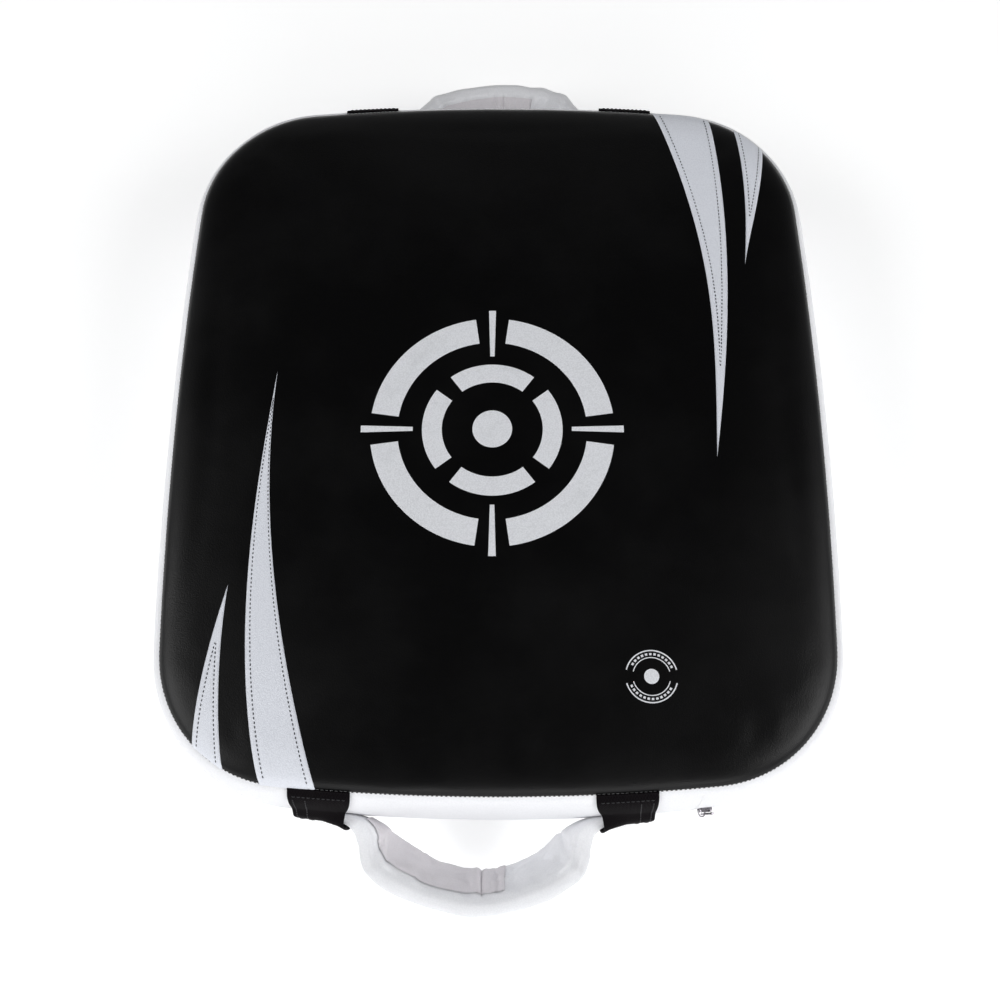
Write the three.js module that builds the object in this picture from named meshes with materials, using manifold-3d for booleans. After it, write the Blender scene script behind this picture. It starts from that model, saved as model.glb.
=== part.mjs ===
// Kick shield: a padded square body lying on its back, strike face up, with a
// hand loop on its top wall and one on its bottom wall.
// Millimetres, +Z up out of the strike face, +Y towards the top handle.
import * as THREE from "three";
import Module from "manifold-3d";

const wasm = await Module();
wasm.setup();

// ---- driving dimensions ---------------------------------------------------

const HALF_W = 215; // edge seam, half the width
const HALF_H = 244.5; // edge seam, half the height
const CORNER_R = 86; // edge seam, corner radius
const SIDE_R = 3100; // the long sides bow out a little
const END_R = 1450; // the ends bow out more
const THICK = 112; // floor to strike face
const ROLL_IN = 22; // the face rolls off over this width
const ROLL_DOWN = 7; // and drops this far to the seam
const BULGE = 10; // the wall swells this far at mid thickness
const SKIN = 2.2; // leather with its backing
const GAP = 0.3; // between pieces that touch

const MID_Z = THICK / 2;
const SEAM_Z = THICK - ROLL_DOWN;
const WALL_HALF = SEAM_Z - MID_Z;

const ZIP_X = 126; // the zipped stretch of wall starts here, on both ends
const ZIP_OPEN = 6.3; // half the slot between the two zip strips

const rad = THREE.MathUtils.degToRad;
const deg = THREE.MathUtils.radToDeg;

// ---- materials --------------------------------------------------------------

function finish(name, color, roughness, metalness = 0) {
  const material = new THREE.MeshStandardMaterial({ color, roughness, metalness });
  material.name = name;
  return material;
}

const blackLeather = finish("black_synthetic_leather", 0x141417, 0.5);
const whiteLeather = finish("white_synthetic_leather", 0xf1f1f3, 0.5);
const clawLeather = finish("silver_white_leather", 0xd9dbe2, 0.48);
const linerLeather = finish("white_liner_leather", 0xe9e6ea, 0.6);
const webbing = finish("black_webbing", 0x151216, 0.85);
const zipCloth = finish("white_zip_tape", 0xe6e6ea, 0.85);
const zipNylon = finish("white_nylon_coil", 0xdfdfe3, 0.45);
const zipMetal = finish("zip_metal", 0x8d8890, 0.35, 1);
const strikeFoam = finish("strike_foam", 0x3a3c40, 0.9);
const coreFoam = finish("core_foam", 0xd8d3c4, 0.95);
const gripFoam = finish("grip_foam", 0xcfc9bd, 0.95);

// ---- group and mesh helpers -------------------------------------------------

const shield = new THREE.Group();
shield.name = "kick_shield";

function addPiece(name, geometry, material, parent = shield) {
  const mesh = new THREE.Mesh(geometry, material);
  mesh.name = name;
  parent.add(mesh);
  return mesh;
}

// Signed volume of an indexed geometry: negative when it is inside out.
function signedVolume(positions, index) {
  const [a, b, c] = [new THREE.Vector3(), new THREE.Vector3(), new THREE.Vector3()];
  let volume = 0;
  for (let i = 0; i < index.length; i += 3) {
    a.fromArray(positions, index[i] * 3);
    b.fromArray(positions, index[i + 1] * 3);
    c.fromArray(positions, index[i + 2] * 3);
    volume += a.dot(b.cross(c)) / 6;
  }
  return volume;
}

function solidFrom(positions, index) {
  if (signedVolume(positions, index) < 0) {
    for (let i = 0; i < index.length; i += 3) {
      [index[i + 1], index[i + 2]] = [index[i + 2], index[i + 1]];
    }
  }
  const geometry = new THREE.BufferGeometry();
  geometry.setAttribute("position", new THREE.Float32BufferAttribute(positions, 3));
  geometry.setIndex(index);
  geometry.computeVertexNormals();
  return geometry;
}

// A closed solid through a stack of rings with the same number of points.
// With capOutline, a list of Vector2 in ring order, the two ends are capped.
// Without it the last ring joins the first.
function loft(rings, capOutline = null) {
  const count = rings[0].length;
  const positions = rings.flat().flatMap((point) => point.toArray());
  const index = [];
  const spans = capOutline ? rings.length - 1 : rings.length;
  for (let r = 0; r < spans; r += 1) {
    const next = (r + 1) % rings.length;
    for (let i = 0; i < count; i += 1) {
      const j = (i + 1) % count;
      const [a, b] = [r * count + i, r * count + j];
      const [c, d] = [next * count + j, next * count + i];
      index.push(a, b, c, a, c, d);
    }
  }
  if (capOutline) {
    const last = (rings.length - 1) * count;
    const clockwise = THREE.ShapeUtils.isClockWise(capOutline);
    for (const face of THREE.ShapeUtils.triangulateShape(capOutline, [])) {
      const [i, j, k] = clockwise ? face.toReversed() : face;
      index.push(i, k, j);
      index.push(last + i, last + j, last + k);
    }
  }
  return solidFrom(positions, index);
}

// ---- the body outline -------------------------------------------------------

// The outline is eight arcs that meet smoothly: two sides, two ends and four
// corners. A place on it is named by the direction of its outward normal.
const sideCentre = SIDE_R - HALF_W;
const endCentre = END_R - HALF_H;
const corner = new THREE.Vector2(HALF_W - CORNER_R, HALF_H - CORNER_R);
for (let pass = 0; pass < 40; pass += 1) {
  corner.x = Math.sqrt((SIDE_R - CORNER_R) ** 2 - corner.y ** 2) - sideCentre;
  corner.y = Math.sqrt((END_R - CORNER_R) ** 2 - corner.x ** 2) - endCentre;
}
const SIDE_SPAN = deg(Math.asin(corner.y / (SIDE_R - CORNER_R)));
const END_SPAN = deg(Math.asin(corner.x / (END_R - CORNER_R)));

// The point whose outward normal has this direction, moved out by offset.
function outlinePoint(direction, offset, z) {
  const [nx, ny] = [Math.cos(rad(direction)), Math.sin(rad(direction))];
  const steep = deg(Math.atan2(Math.abs(ny), Math.abs(nx)));
  let [cx, cy, radius] = [corner.x, corner.y, CORNER_R];
  if (steep < SIDE_SPAN) {
    [cx, cy, radius] = [-sideCentre, 0, SIDE_R];
  } else if (steep > 90 - END_SPAN) {
    [cx, cy, radius] = [0, -endCentre, END_R];
  }
  const x = Math.sign(nx) * cx + nx * (radius + offset);
  const y = Math.sign(ny) * cy + ny * (radius + offset);
  return new THREE.Vector3(x, y, z);
}

// Directions from one to another, with steps that suit the three kinds of arc.
const CORNER_STEPS = 11;
const STRAIGHT_STEPS = 3;
function spread(from, to, steps) {
  return Array.from({ length: steps }, (_, i) => from + ((to - from) * i) / steps);
}
const quadrant = [
  ...spread(0, SIDE_SPAN, STRAIGHT_STEPS),
  ...spread(SIDE_SPAN, 90 - END_SPAN, CORNER_STEPS),
  ...spread(90 - END_SPAN, 90, STRAIGHT_STEPS),
];
const mirrored = [...quadrant, 90, ...quadrant.slice(1).map((d) => 180 - d).reverse()];
const allRound = [...mirrored, ...mirrored.map((d) => d + 180)];

function stretch(from, to) {
  const turns = [-360, 0, 360].flatMap((turn) => allRound.map((d) => d + turn));
  const between = turns.filter((d) => d > from + 0.2 && d < to - 0.2);
  return [from, ...between.sort((a, b) => a - b), to];
}

// The direction of the normal on an end wall at x: end is 1 at the top, -1 below.
function endDirection(x, end) {
  return end * (90 - deg(Math.asin(x / END_R)));
}

// A ring right round the body, inset from the edge seam. Far in, it shrinks
// towards the middle instead, because the corners would turn inside out.
const DEEPEST = 60;
function bodyRing(inset, z) {
  const shrink = inset > DEEPEST ? 1 - (inset - DEEPEST) / HALF_W : 1;
  return allRound.map((d) => {
    const point = outlinePoint(d, -Math.min(inset, DEEPEST), z);
    return new THREE.Vector3(point.x * shrink, point.y * shrink, z);
  });
}

function flatOutline(ring) {
  return ring.map((point) => new THREE.Vector2(point.x, point.y));
}

function bodySolid(steps) {
  const rings = steps.map(([inset, z]) => bodyRing(inset, z));
  return loft(rings, flatOutline(rings[0]));
}

// Flips a list of [inset, z] steps from the strike side to the back.
function toBack(steps) {
  return steps.map(([inset, z]) => [inset, THICK - z]);
}

// ---- strike face and back panels --------------------------------------------

// The height of the strike face at a distance in from the seam.
function faceRise(inset, width, drop) {
  const left = 1 - Math.min(inset, width) / width;
  return SEAM_Z + drop * Math.sqrt(1 - left * left);
}

const outside = [60, ROLL_IN, 13, 6, 2, 0.5, 0];
const inside = [SKIN, 4.5, 9, 15, ROLL_IN, 60];
const panelSteps = [
  ...outside.map((inset) => [inset, faceRise(inset, ROLL_IN, ROLL_DOWN)]),
  ...inside.map((inset) => [inset, faceRise(inset - SKIN, ROLL_IN - SKIN, ROLL_DOWN - SKIN)]),
];
addPiece("front_panel", bodySolid(panelSteps), blackLeather);
addPiece("back_panel", bodySolid(toBack(panelSteps)), blackLeather);

// ---- foam stack ---------------------------------------------------------------

const strikeSteps = [
  [ROLL_IN + 2, SEAM_Z + 4.4],
  [6.5, SEAM_Z + 2],
  [4, SEAM_Z - 0.6],
  [0, SEAM_Z - 7],
  [-2, 90.2],
];
addPiece("strike_foam", bodySolid(strikeSteps), strikeFoam);
addPiece("rear_foam", bodySolid(toBack(strikeSteps)), coreFoam);
const coreSteps = [
  [-2, 90.2 - GAP],
  [-4, MID_Z + GAP / 2],
];
addPiece("core_foam_front", bodySolid(coreSteps), coreFoam);
addPiece("core_foam_rear", bodySolid(toBack(coreSteps)), coreFoam);

// ---- gusset -------------------------------------------------------------------

// How far the wall swells out at a height.
function swell(z) {
  const across = Math.min(Math.abs(z - MID_Z) / WALL_HALF, 1);
  return BULGE * Math.sqrt(1 - across * across);
}

// A strip of wall between two heights, from one direction to another. It lies
// between two distances out from the swollen wall.
function wallStrip(heights, near, far, from, to) {
  const outer = heights.map((z) => [swell(z) + far, z]);
  const inner = heights.map((z) => [swell(z) + near, z]).reverse();
  const profile = [...outer, ...inner];
  const rings = stretch(from, to).map((d) =>
    profile.map(([offset, z]) => outlinePoint(d, offset, z)),
  );
  return loft(
    rings,
    profile.map(([offset, z]) => new THREE.Vector2(offset, z)),
  );
}

const upperHeights = [SEAM_Z - GAP, 99, 89, 76];
const lowerHeights = upperHeights.map((z) => THICK - z).reverse();
const zipFrom = endDirection(ZIP_X, -1);
const zipTo = endDirection(ZIP_X, 1);
const seamGap = 0.006;

addPiece(
  "main_gusset_panel",
  wallStrip([...upperHeights, MID_Z, ...lowerHeights], -SKIN, 0, zipTo + seamGap, zipFrom + 360 - seamGap),
  whiteLeather,
);
addPiece(
  "zip_gusset_front_strip",
  wallStrip([...upperHeights, MID_Z + ZIP_OPEN], -SKIN, 0, zipFrom + seamGap, zipTo - seamGap),
  whiteLeather,
);
addPiece(
  "zip_gusset_rear_strip",
  wallStrip([MID_Z - ZIP_OPEN, ...lowerHeights], -SKIN, 0, zipFrom + seamGap, zipTo - seamGap),
  whiteLeather,
);

// ---- zip ------------------------------------------------------------------------

const TAPE_THICK = 0.8;
const TAPE_OUT = -SKIN - GAP; // outer face of the tape, from the swollen wall
const COIL_THICK = 2.4;
const COIL_NEAR = 0.7; // half the slot that the slider's post runs in
const COIL_FAR = 3.3;
const coilOut = TAPE_OUT + GAP;

function mirrorHeights(heights) {
  return heights.map((z) => THICK - z).reverse();
}

const tapeHeights = [72, 64, MID_Z + COIL_NEAR];
const coilHeights = [MID_Z + COIL_FAR, MID_Z + COIL_NEAR];
const stopAt = zipTo - 0.35;
for (const [side, tape, coil] of [
  ["front", tapeHeights, coilHeights],
  ["rear", mirrorHeights(tapeHeights), mirrorHeights(coilHeights)],
]) {
  addPiece(
    `zip_${side}_tape`,
    wallStrip(tape, TAPE_OUT - TAPE_THICK, TAPE_OUT, zipFrom + 0.04, zipTo - 0.04),
    zipCloth,
  );
  addPiece(
    `zip_${side}_coil`,
    wallStrip(coil, coilOut, coilOut + COIL_THICK, zipFrom + 0.04, stopAt - 0.03),
    zipNylon,
  );
}
addPiece(
  "zip_end_stop",
  wallStrip([MID_Z + 4.4, MID_Z - 4.4], coilOut, coilOut + COIL_THICK + 0.4, stopAt, stopAt + 0.2),
  zipMetal,
);

// ---- slider and pull tab, made with booleans --------------------------------------

function manifoldBox(box) {
  const [x0, x1, y0, y1, z0, z1] = box;
  const geometry = new THREE.BoxGeometry(x1 - x0, y1 - y0, z1 - z0);
  geometry.translate((x0 + x1) / 2, (y0 + y1) / 2, (z0 + z1) / 2);
  const source = geometry.getAttribute("position");
  // The eight corners, welded: a BoxGeometry keeps 24.
  const keys = new Map();
  const vertProperties = [];
  const weld = [];
  for (let i = 0; i < source.count; i += 1) {
    const point = [source.getX(i), source.getY(i), source.getZ(i)];
    const key = point.map((value) => value.toFixed(4)).join(" ");
    if (!keys.has(key)) {
      keys.set(key, keys.size);
      vertProperties.push(...point);
    }
    weld.push(keys.get(key));
  }
  const triVerts = Uint32Array.from(geometry.getIndex().array, (i) => weld[i]);
  return new wasm.Manifold(
    new wasm.Mesh({ numProp: 3, vertProperties: Float32Array.from(vertProperties), triVerts }),
  );
}

function manifoldGeometry(manifold) {
  const mesh = manifold.getMesh();
  return solidFrom(Array.from(mesh.vertProperties), Array.from(mesh.triVerts));
}

// In the slider's own frame: x along the zip, y in towards the body, z up.
// y = 0 is the outer surface of the swollen wall.
const sliderBoxes = [
  [-4.5, 4.5, -2.4, -1.0, -5.6, 5.6], // outer plate
  [-4.5, 4.5, 3.9, 5.1, -5.6, 5.6], // inner plate, behind the tapes
  [-3.5, 1.5, -1.4, 4.2, -0.4, 0.4], // post between them
  [-4.4, -3.6, -5.2, -2.2, -0.8, 0.8], // arch, left leg
  [-0.4, 0.4, -5.2, -2.2, -0.8, 0.8], // arch, right leg
  [-4.4, 0.4, -5.4, -4.6, -0.8, 0.8], // arch, top
];
const [firstBox, ...otherBoxes] = sliderBoxes.map(manifoldBox);
const sliderBody = otherBoxes.reduce((body, box) => body.add(box), firstBox);

// The pull tab hangs on the arch by the bar at its end.
const tabPlate = manifoldBox([-2.6, 5.8, -4.1, -2.9, -3.3, 3.3]);
const tabWindow = manifoldBox([-1.4, 1.8, -5, -2, -1.5, 1.5]);
const pullTab = tabPlate.subtract(tabWindow);

// The slider turns about the centre of the corner arc as it runs round it.
const SLIDER_RADIUS = CORNER_R + BULGE;
const SLIDER_TURN = -86.3;
const cornerPivot = new THREE.Group();
cornerPivot.position.set(corner.x, -corner.y, MID_Z);
cornerPivot.rotation.z = rad(SLIDER_TURN + 90);
const sliderFrame = new THREE.Group();
sliderFrame.position.set(0, -SLIDER_RADIUS, 0);
cornerPivot.add(sliderFrame);
addPiece("zip_slider", manifoldGeometry(sliderBody), zipMetal, sliderFrame);
addPiece("zip_pull_tab", manifoldGeometry(pullTab), zipMetal, sliderFrame);
shield.add(cornerPivot);

// ---- claws on the strike face -------------------------------------------------------

// The distance of a point in from the edge seam.
const tester = spread(0, 360, 240).map((d) => ({ d, point: outlinePoint(d, 0, 0) }));
function insetOf(x, y) {
  return Math.min(
    ...tester.map(({ d, point }) => {
      const [nx, ny] = [Math.cos(rad(d)), Math.sin(rad(d))];
      return (point.x - x) * nx + (point.y - y) * ny;
    }),
  );
}

// Each edge of a claw is one curve from its foot on the seam to the shared tip.
const CLAW_THICK = 1;
const claws = {
  claw_upper_long: {
    tip: [142, -31],
    left: [[114.5, 229], [150, 119], [147, 68]],
    right: [[154, 219], [164.5, 135], [155.5, 49]],
  },
  claw_upper_short: {
    tip: [170, 110],
    left: [[171.5, 207], [176, 176], [173.5, 143]],
    right: [[188, 191], [186, 166], [175, 136.5]],
  },
  claw_lower_long: {
    tip: [-147, 29],
    left: [[-143.5, -222], [-168, -137], [-153, -28]],
    right: [[-109, -237], [-134, -158], [-154, -73]],
  },
  claw_lower_short: {
    tip: [-169, -116],
    left: [[-182.5, -197], [-182.5, -174], [-176.5, -145]],
    right: [[-165.5, -212], [-171, -187], [-172, -150]],
  },
};
const CLAW_ROWS = 14;
const CLAW_ACROSS = 5;
const CLAW_LIFT = 0.8; // its flat facets bridge the curve of the face

function clawSurface(x, y, lift) {
  return faceRise(Math.max(insetOf(x, y), 0), ROLL_IN, ROLL_DOWN) + lift;
}

function clawSolid({ tip, left, right }) {
  const [leftEdge, rightEdge] = [left, right].map(
    (edge) =>
      new THREE.CubicBezierCurve(...[...edge, tip].map(([x, y]) => new THREE.Vector2(x, y))),
  );
  const rings = [];
  for (let row = 0; row < CLAW_ROWS; row += 1) {
    const along = 0.97 * (row / (CLAW_ROWS - 1)) ** 1.7; // closer together at the foot
    const [a, b] = [leftEdge.getPoint(along), rightEdge.getPoint(along)];
    const across = Array.from({ length: CLAW_ACROSS }, (_, i) =>
      a.clone().lerp(b, i / (CLAW_ACROSS - 1)),
    );
    const lifted = (lift) =>
      across.map(({ x, y }) => new THREE.Vector3(x, y, clawSurface(x, y, lift)));
    rings.push([...lifted(CLAW_LIFT), ...lifted(CLAW_LIFT + CLAW_THICK).reverse()]);
  }
  const flat = [];
  for (let i = 0; i < CLAW_ACROSS; i += 1) {
    flat.push(new THREE.Vector2(i, 0));
  }
  for (let i = CLAW_ACROSS - 1; i >= 0; i -= 1) {
    flat.push(new THREE.Vector2(i, 1));
  }
  return loft(rings, flat);
}

for (const [name, claw] of Object.entries(claws)) {
  addPiece(name, clawSolid(claw), clawLeather);
}

// ---- hand loops -----------------------------------------------------------------------

const LOOP_HALF = 79.8; // half the width of a loop, outside
const LOOP_REACH = 57; // how far it stands out, outside
const LOOP_POWER = 1.75; // 2 would be an ellipse: less is more pointed
const STRAP_HALF_WIDTH = 24;
const STRAP_HALF_THICK = 8;
const ROOT_HALF_WIDTH = 15; // pinched where it leaves the wall
const ROOT_START = 12; // room to swing clear of the wall
const PINCH_END = 28;
const PATH_STEPS = 16;
const SLEEVE_THICK = 1.4;

// A place on the strap's centre line: where it is, which way is out, and how
// wide the strap is there. The line lies in the plane of the loop.
function strapPath() {
  const reach = LOOP_REACH - STRAP_HALF_THICK;
  const half = LOOP_HALF - STRAP_HALF_THICK;
  const power = 2 / LOOP_POWER;
  const at = (t) =>
    new THREE.Vector2(
      Math.sign(Math.cos(t)) * half * Math.abs(Math.cos(t)) ** power,
      reach * Math.sin(t) ** power,
    );
  const start = Math.asin((ROOT_START / reach) ** (1 / power));
  const places = [];
  for (let i = 0; i <= PATH_STEPS; i += 1) {
    const t = start + ((Math.PI - 2 * start) * i) / PATH_STEPS;
    const point = at(t);
    const along = at(t + 0.001).sub(at(t - 0.001)).normalize();
    const out = new THREE.Vector2(along.y, -along.x);
    const pinch = THREE.MathUtils.smoothstep(point.y, ROOT_START, PINCH_END);
    const halfWidth = THREE.MathUtils.lerp(ROOT_HALF_WIDTH, STRAP_HALF_WIDTH, pinch);
    places.push({ point, out, halfWidth });
  }
  return places;
}
const strap = strapPath();

// Loop frame: x along the wall, y out from it, z across the strap.
function strapRings(section) {
  return strap.map(({ point, out, halfWidth }) =>
    section(halfWidth).map(
      ([w, t]) => new THREE.Vector3(point.x + out.x * t, point.y + out.y * t, w),
    ),
  );
}

function strapBar(section) {
  const flat = section(STRAP_HALF_WIDTH).map(([w, t]) => new THREE.Vector2(w, t));
  return loft(strapRings(section), flat);
}

const SECTION_POINTS = 14;
function roundedSection(inset) {
  return (halfWidth) =>
    Array.from({ length: SECTION_POINTS }, (_, i) => {
      const angle = (2 * Math.PI * (i + 0.5)) / SECTION_POINTS;
      const [c, s] = [Math.cos(angle), Math.sin(angle)];
      const w = Math.sign(c) * Math.abs(c) ** (2 / 3) * (halfWidth - inset);
      const t = Math.sign(s) * Math.abs(s) ** (2 / 3) * (STRAP_HALF_THICK - inset);
      return [w, t];
    });
}

// The sleeve is a skin that is open at both ends.
function sleeveSolid() {
  const outer = strapRings(roundedSection(0));
  const inner = strapRings(roundedSection(SLEEVE_THICK)).reverse();
  return loft([...outer, ...inner]);
}

const WEBBING_HALF = 0.8;
const webbingSection = (halfWidth) => {
  const w = halfWidth * 0.74;
  return [[-w, -WEBBING_HALF], [w, -WEBBING_HALF], [w, WEBBING_HALF], [-w, WEBBING_HALF]];
};

function foamSection(side) {
  return (halfWidth) => {
    const w = halfWidth - SLEEVE_THICK;
    const low = WEBBING_HALF + GAP;
    const high = STRAP_HALF_THICK - SLEEVE_THICK - 1.4;
    return [
      [-0.84 * w, side * low],
      [0.84 * w, side * low],
      [0.8 * w, side * high * 0.62],
      [0.5 * w, side * high],
      [-0.5 * w, side * high],
      [-0.8 * w, side * high * 0.62],
    ];
  };
}

const linerSection = (halfWidth) => {
  const w = halfWidth * 0.5;
  const near = -STRAP_HALF_THICK - GAP;
  return [[-w, near - 1], [w, near - 1], [w, near], [-w, near]];
};

const PATCH_NEAR = 81; // the patches start here, from the loop's middle
const PATCH_FAR = 114;
const patchHeights = [103, 96, 84, 70, MID_Z];
const tabHeights = [75, MID_Z, 37];

// end is 1 on the top wall and -1 on the bottom one.
function addHandle(name, end, middle, droop) {
  const frame = new THREE.Group();
  frame.position.set(middle, end * (HALF_H + BULGE), MID_Z);
  frame.rotation.set(-end * rad(droop), 0, end > 0 ? 0 : Math.PI, "XYZ");
  addPiece(`${name}_handle_sleeve`, sleeveSolid(), whiteLeather, frame);
  addPiece(`${name}_handle_webbing`, strapBar(webbingSection), webbing, frame);
  addPiece(`${name}_handle_outer_foam`, strapBar(foamSection(1)), gripFoam, frame);
  addPiece(`${name}_handle_inner_foam`, strapBar(foamSection(-1)), gripFoam, frame);
  addPiece(`${name}_handle_grip_liner`, strapBar(linerSection), linerLeather, frame);
  shield.add(frame);

  const full = [...patchHeights, ...patchHeights.slice(0, -1).map((z) => THICK - z).reverse()];
  for (const [side, sign] of [["left", -1], ["right", 1]]) {
    const reach = [PATCH_NEAR, PATCH_FAR].map((x) => endDirection(middle + sign * x, end));
    const [from, to] = reach.sort((a, b) => a - b);
    addPiece(
      `${name}_handle_${side}_root_tab`,
      wallStrip(tabHeights, GAP, 1.8, from + 0.05, to - 0.05),
      webbing,
    );
    addPiece(
      `${name}_handle_${side}_patch`,
      wallStrip(full, 2.2, 3.4, from, to),
      webbing,
    );
  }
}
addHandle("bottom", -1, -15, 22);
addHandle("top", 1, 0, 30);

export default shield;
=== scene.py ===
# %% [markdown]
# # A kick shield
#
# This lesson sews and stuffs a kick shield: a thick rounded square of foam in
# a leather cover, lying on its back with the strike face up. The imported CAD
# model is loaded first. It fixes every size and every joint, and most pieces
# made here ride on one of its bodies. All the maker's sizes below are in
# millimetres, and a mesh is scaled to metres when it is made.

# %% Load the frame
import math

import bmesh
import bpy
import numpy as np
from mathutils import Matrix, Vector
from mathutils.bvhtree import BVHTree


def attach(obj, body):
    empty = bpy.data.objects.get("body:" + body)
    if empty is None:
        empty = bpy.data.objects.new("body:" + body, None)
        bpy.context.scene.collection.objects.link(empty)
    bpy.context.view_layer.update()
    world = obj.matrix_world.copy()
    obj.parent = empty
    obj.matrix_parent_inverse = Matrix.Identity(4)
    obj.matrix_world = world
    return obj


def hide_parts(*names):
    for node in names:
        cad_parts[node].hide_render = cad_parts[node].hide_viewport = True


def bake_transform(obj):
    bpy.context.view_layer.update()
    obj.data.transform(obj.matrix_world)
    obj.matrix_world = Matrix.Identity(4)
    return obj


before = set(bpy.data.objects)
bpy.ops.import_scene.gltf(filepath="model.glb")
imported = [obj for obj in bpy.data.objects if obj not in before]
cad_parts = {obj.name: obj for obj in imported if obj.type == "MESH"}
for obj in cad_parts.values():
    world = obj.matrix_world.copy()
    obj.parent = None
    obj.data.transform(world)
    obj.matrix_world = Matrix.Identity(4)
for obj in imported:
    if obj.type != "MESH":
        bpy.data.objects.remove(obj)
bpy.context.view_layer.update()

# %% [markdown]
# ## The outline
#
# The edge seam of the shield is eight arcs that meet smoothly: two sides, two
# ends and four corners. A place on it is named by the direction of its outward
# normal, in degrees, because an arc is then one line of arithmetic. The wall
# between the front and back seams swells out like a bow.

# %% Sizes and the outline
HALF_W, HALF_H, CORNER_R = 215.0, 244.5, 86.0
SIDE_R, END_R = 3100.0, 1450.0
THICK, ROLL_IN, ROLL_DOWN, BULGE = 112.0, 22.0, 7.0, 10.0
MID_Z = THICK / 2
SEAM_Z = THICK - ROLL_DOWN
WALL_HALF = SEAM_Z - MID_Z
MM = 0.001

side_centre, end_centre = SIDE_R - HALF_W, END_R - HALF_H
corner_x, corner_y = HALF_W - CORNER_R, HALF_H - CORNER_R
for _ in range(40):
    corner_x = math.sqrt((SIDE_R - CORNER_R) ** 2 - corner_y ** 2) - side_centre
    corner_y = math.sqrt((END_R - CORNER_R) ** 2 - corner_x ** 2) - end_centre
side_span = math.degrees(math.asin(corner_y / (SIDE_R - CORNER_R)))
end_span = math.degrees(math.asin(corner_x / (END_R - CORNER_R)))


def outline(direction, out=0.0):
    """Points whose outward normals have these directions, moved out by out."""
    turn = np.radians(np.asarray(direction, float))
    nx, ny = np.cos(turn), np.sin(turn)
    steep = np.degrees(np.arctan2(abs(ny), abs(nx)))
    side, end = steep < side_span, steep > 90 - end_span
    cx = np.where(side, -side_centre, np.where(end, 0.0, corner_x))
    cy = np.where(side, 0.0, np.where(end, -end_centre, corner_y))
    radius = np.where(side, SIDE_R, np.where(end, END_R, CORNER_R)) + out
    return np.stack([np.sign(nx) * cx + nx * radius, np.sign(ny) * cy + ny * radius], -1)


def normal_of(direction):
    turn = np.radians(np.asarray(direction, float))
    return np.stack([np.cos(turn), np.sin(turn)], -1)


def end_direction(x, end):
    """Normal direction on the top wall (end 1) or the bottom wall (end -1) at x."""
    return end * (90 - math.degrees(math.asin(x / END_R)))


def swell(z):
    """How far the wall stands out at height z."""
    across = np.clip(abs(np.asarray(z, float) - MID_Z) / WALL_HALF, 0, 1)
    return BULGE * np.sqrt(1 - across ** 2)


def face_rise(inset):
    """Height of the strike face at a distance in from the edge seam."""
    left = 1 - np.clip(np.asarray(inset, float) / ROLL_IN, 0, 1)
    return SEAM_Z + ROLL_DOWN * np.sqrt(1 - left ** 2)


print(f"corner arcs {90 - side_span - end_span:.1f} degrees, centred at {corner_x:.1f}, {corner_y:.1f}")

# %% [markdown]
# Stations are places spaced evenly along the outline. Even spacing matters for
# stitches, and it gives the cloth simulation square cells. Directions are far
# from even, since a side arc hardly turns, so a table turns length into
# direction.

# %% Stations along the outline
fine = np.concatenate([
    np.linspace(-side_span, side_span, 400, endpoint=False),
    np.linspace(side_span, 90 - end_span, 400, endpoint=False),
    np.linspace(90 - end_span, 90 + end_span, 400, endpoint=False),
    np.linspace(90 + end_span, 180 - side_span, 400, endpoint=False),
])
table_dir = np.append(np.concatenate([fine - 180, fine]), 180 - side_span)
table_len = np.append(0, np.cumsum(np.hypot(*np.diff(outline(table_dir), axis=0).T)))
GIRTH = table_len[-1]


def length_at(direction):
    """Length along the outline, from the middle of the left side, anticlockwise."""
    wrapped = (np.asarray(direction, float) - table_dir[0]) % 360 + table_dir[0]
    return np.interp(wrapped, table_dir, table_len)


def direction_at(length):
    return np.interp(np.asarray(length, float) % GIRTH, table_len, table_dir)


print(f"edge seam is {GIRTH:.0f} mm round")

# %% [markdown]
# Every mesh here is an array of points and a list of faces. Small helpers do
# the rest: one makes an object that rides on a body, one lays quads over a grid
# of points, one closes the ends of a tube, and one bakes a piece's placement
# into its points.

# %% Mesh helpers
def make_piece(name, points, faces, material, body="shield", slot=None, uv=None):
    """A smooth mesh object from points in millimetres."""
    mesh = bpy.data.meshes.new(name)
    mesh.from_pydata([tuple(p) for p in np.asarray(points, float) * MM], [], faces)
    mesh.polygons.foreach_set("use_smooth", [True] * len(mesh.polygons))
    if uv is not None:
        layer = mesh.uv_layers.new(name="cut")
        corner = np.zeros(len(mesh.loops), int)
        mesh.loops.foreach_get("vertex_index", corner)
        layer.data.foreach_set("uv", np.asarray(uv, float)[corner].ravel() * MM)
    mesh.materials.append(material)
    piece = bpy.data.objects.new(name, mesh)
    bpy.context.scene.collection.objects.link(piece)
    if body:
        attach(piece, body)
    return piece


def grid_faces(rows, columns, wrap_columns=False, flip=False):
    """Quads over a grid of points stored row by row."""
    faces = []
    for r in range(rows - 1):
        for c in range(columns if wrap_columns else columns - 1):
            a, b = r * columns + c, r * columns + (c + 1) % columns
            d, e = a + columns, b + columns
            faces.append((a, d, e, b) if flip else (a, b, e, d))
    return faces


def joined(solids):
    """The points and faces of several (points, faces) pairs as one."""
    points, faces = [], []
    for more_points, more_faces in solids:
        start = len(points)
        points += list(more_points)
        faces += [tuple(start + k for k in face) for face in more_faces]
    return points, faces


def capped(faces, rings, count):
    """Tube faces with both ends closed, for a number of rings of count points."""
    last = (rings - 1) * count
    return faces + [tuple(range(count)), tuple(range(last, last + count))[::-1]]


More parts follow.
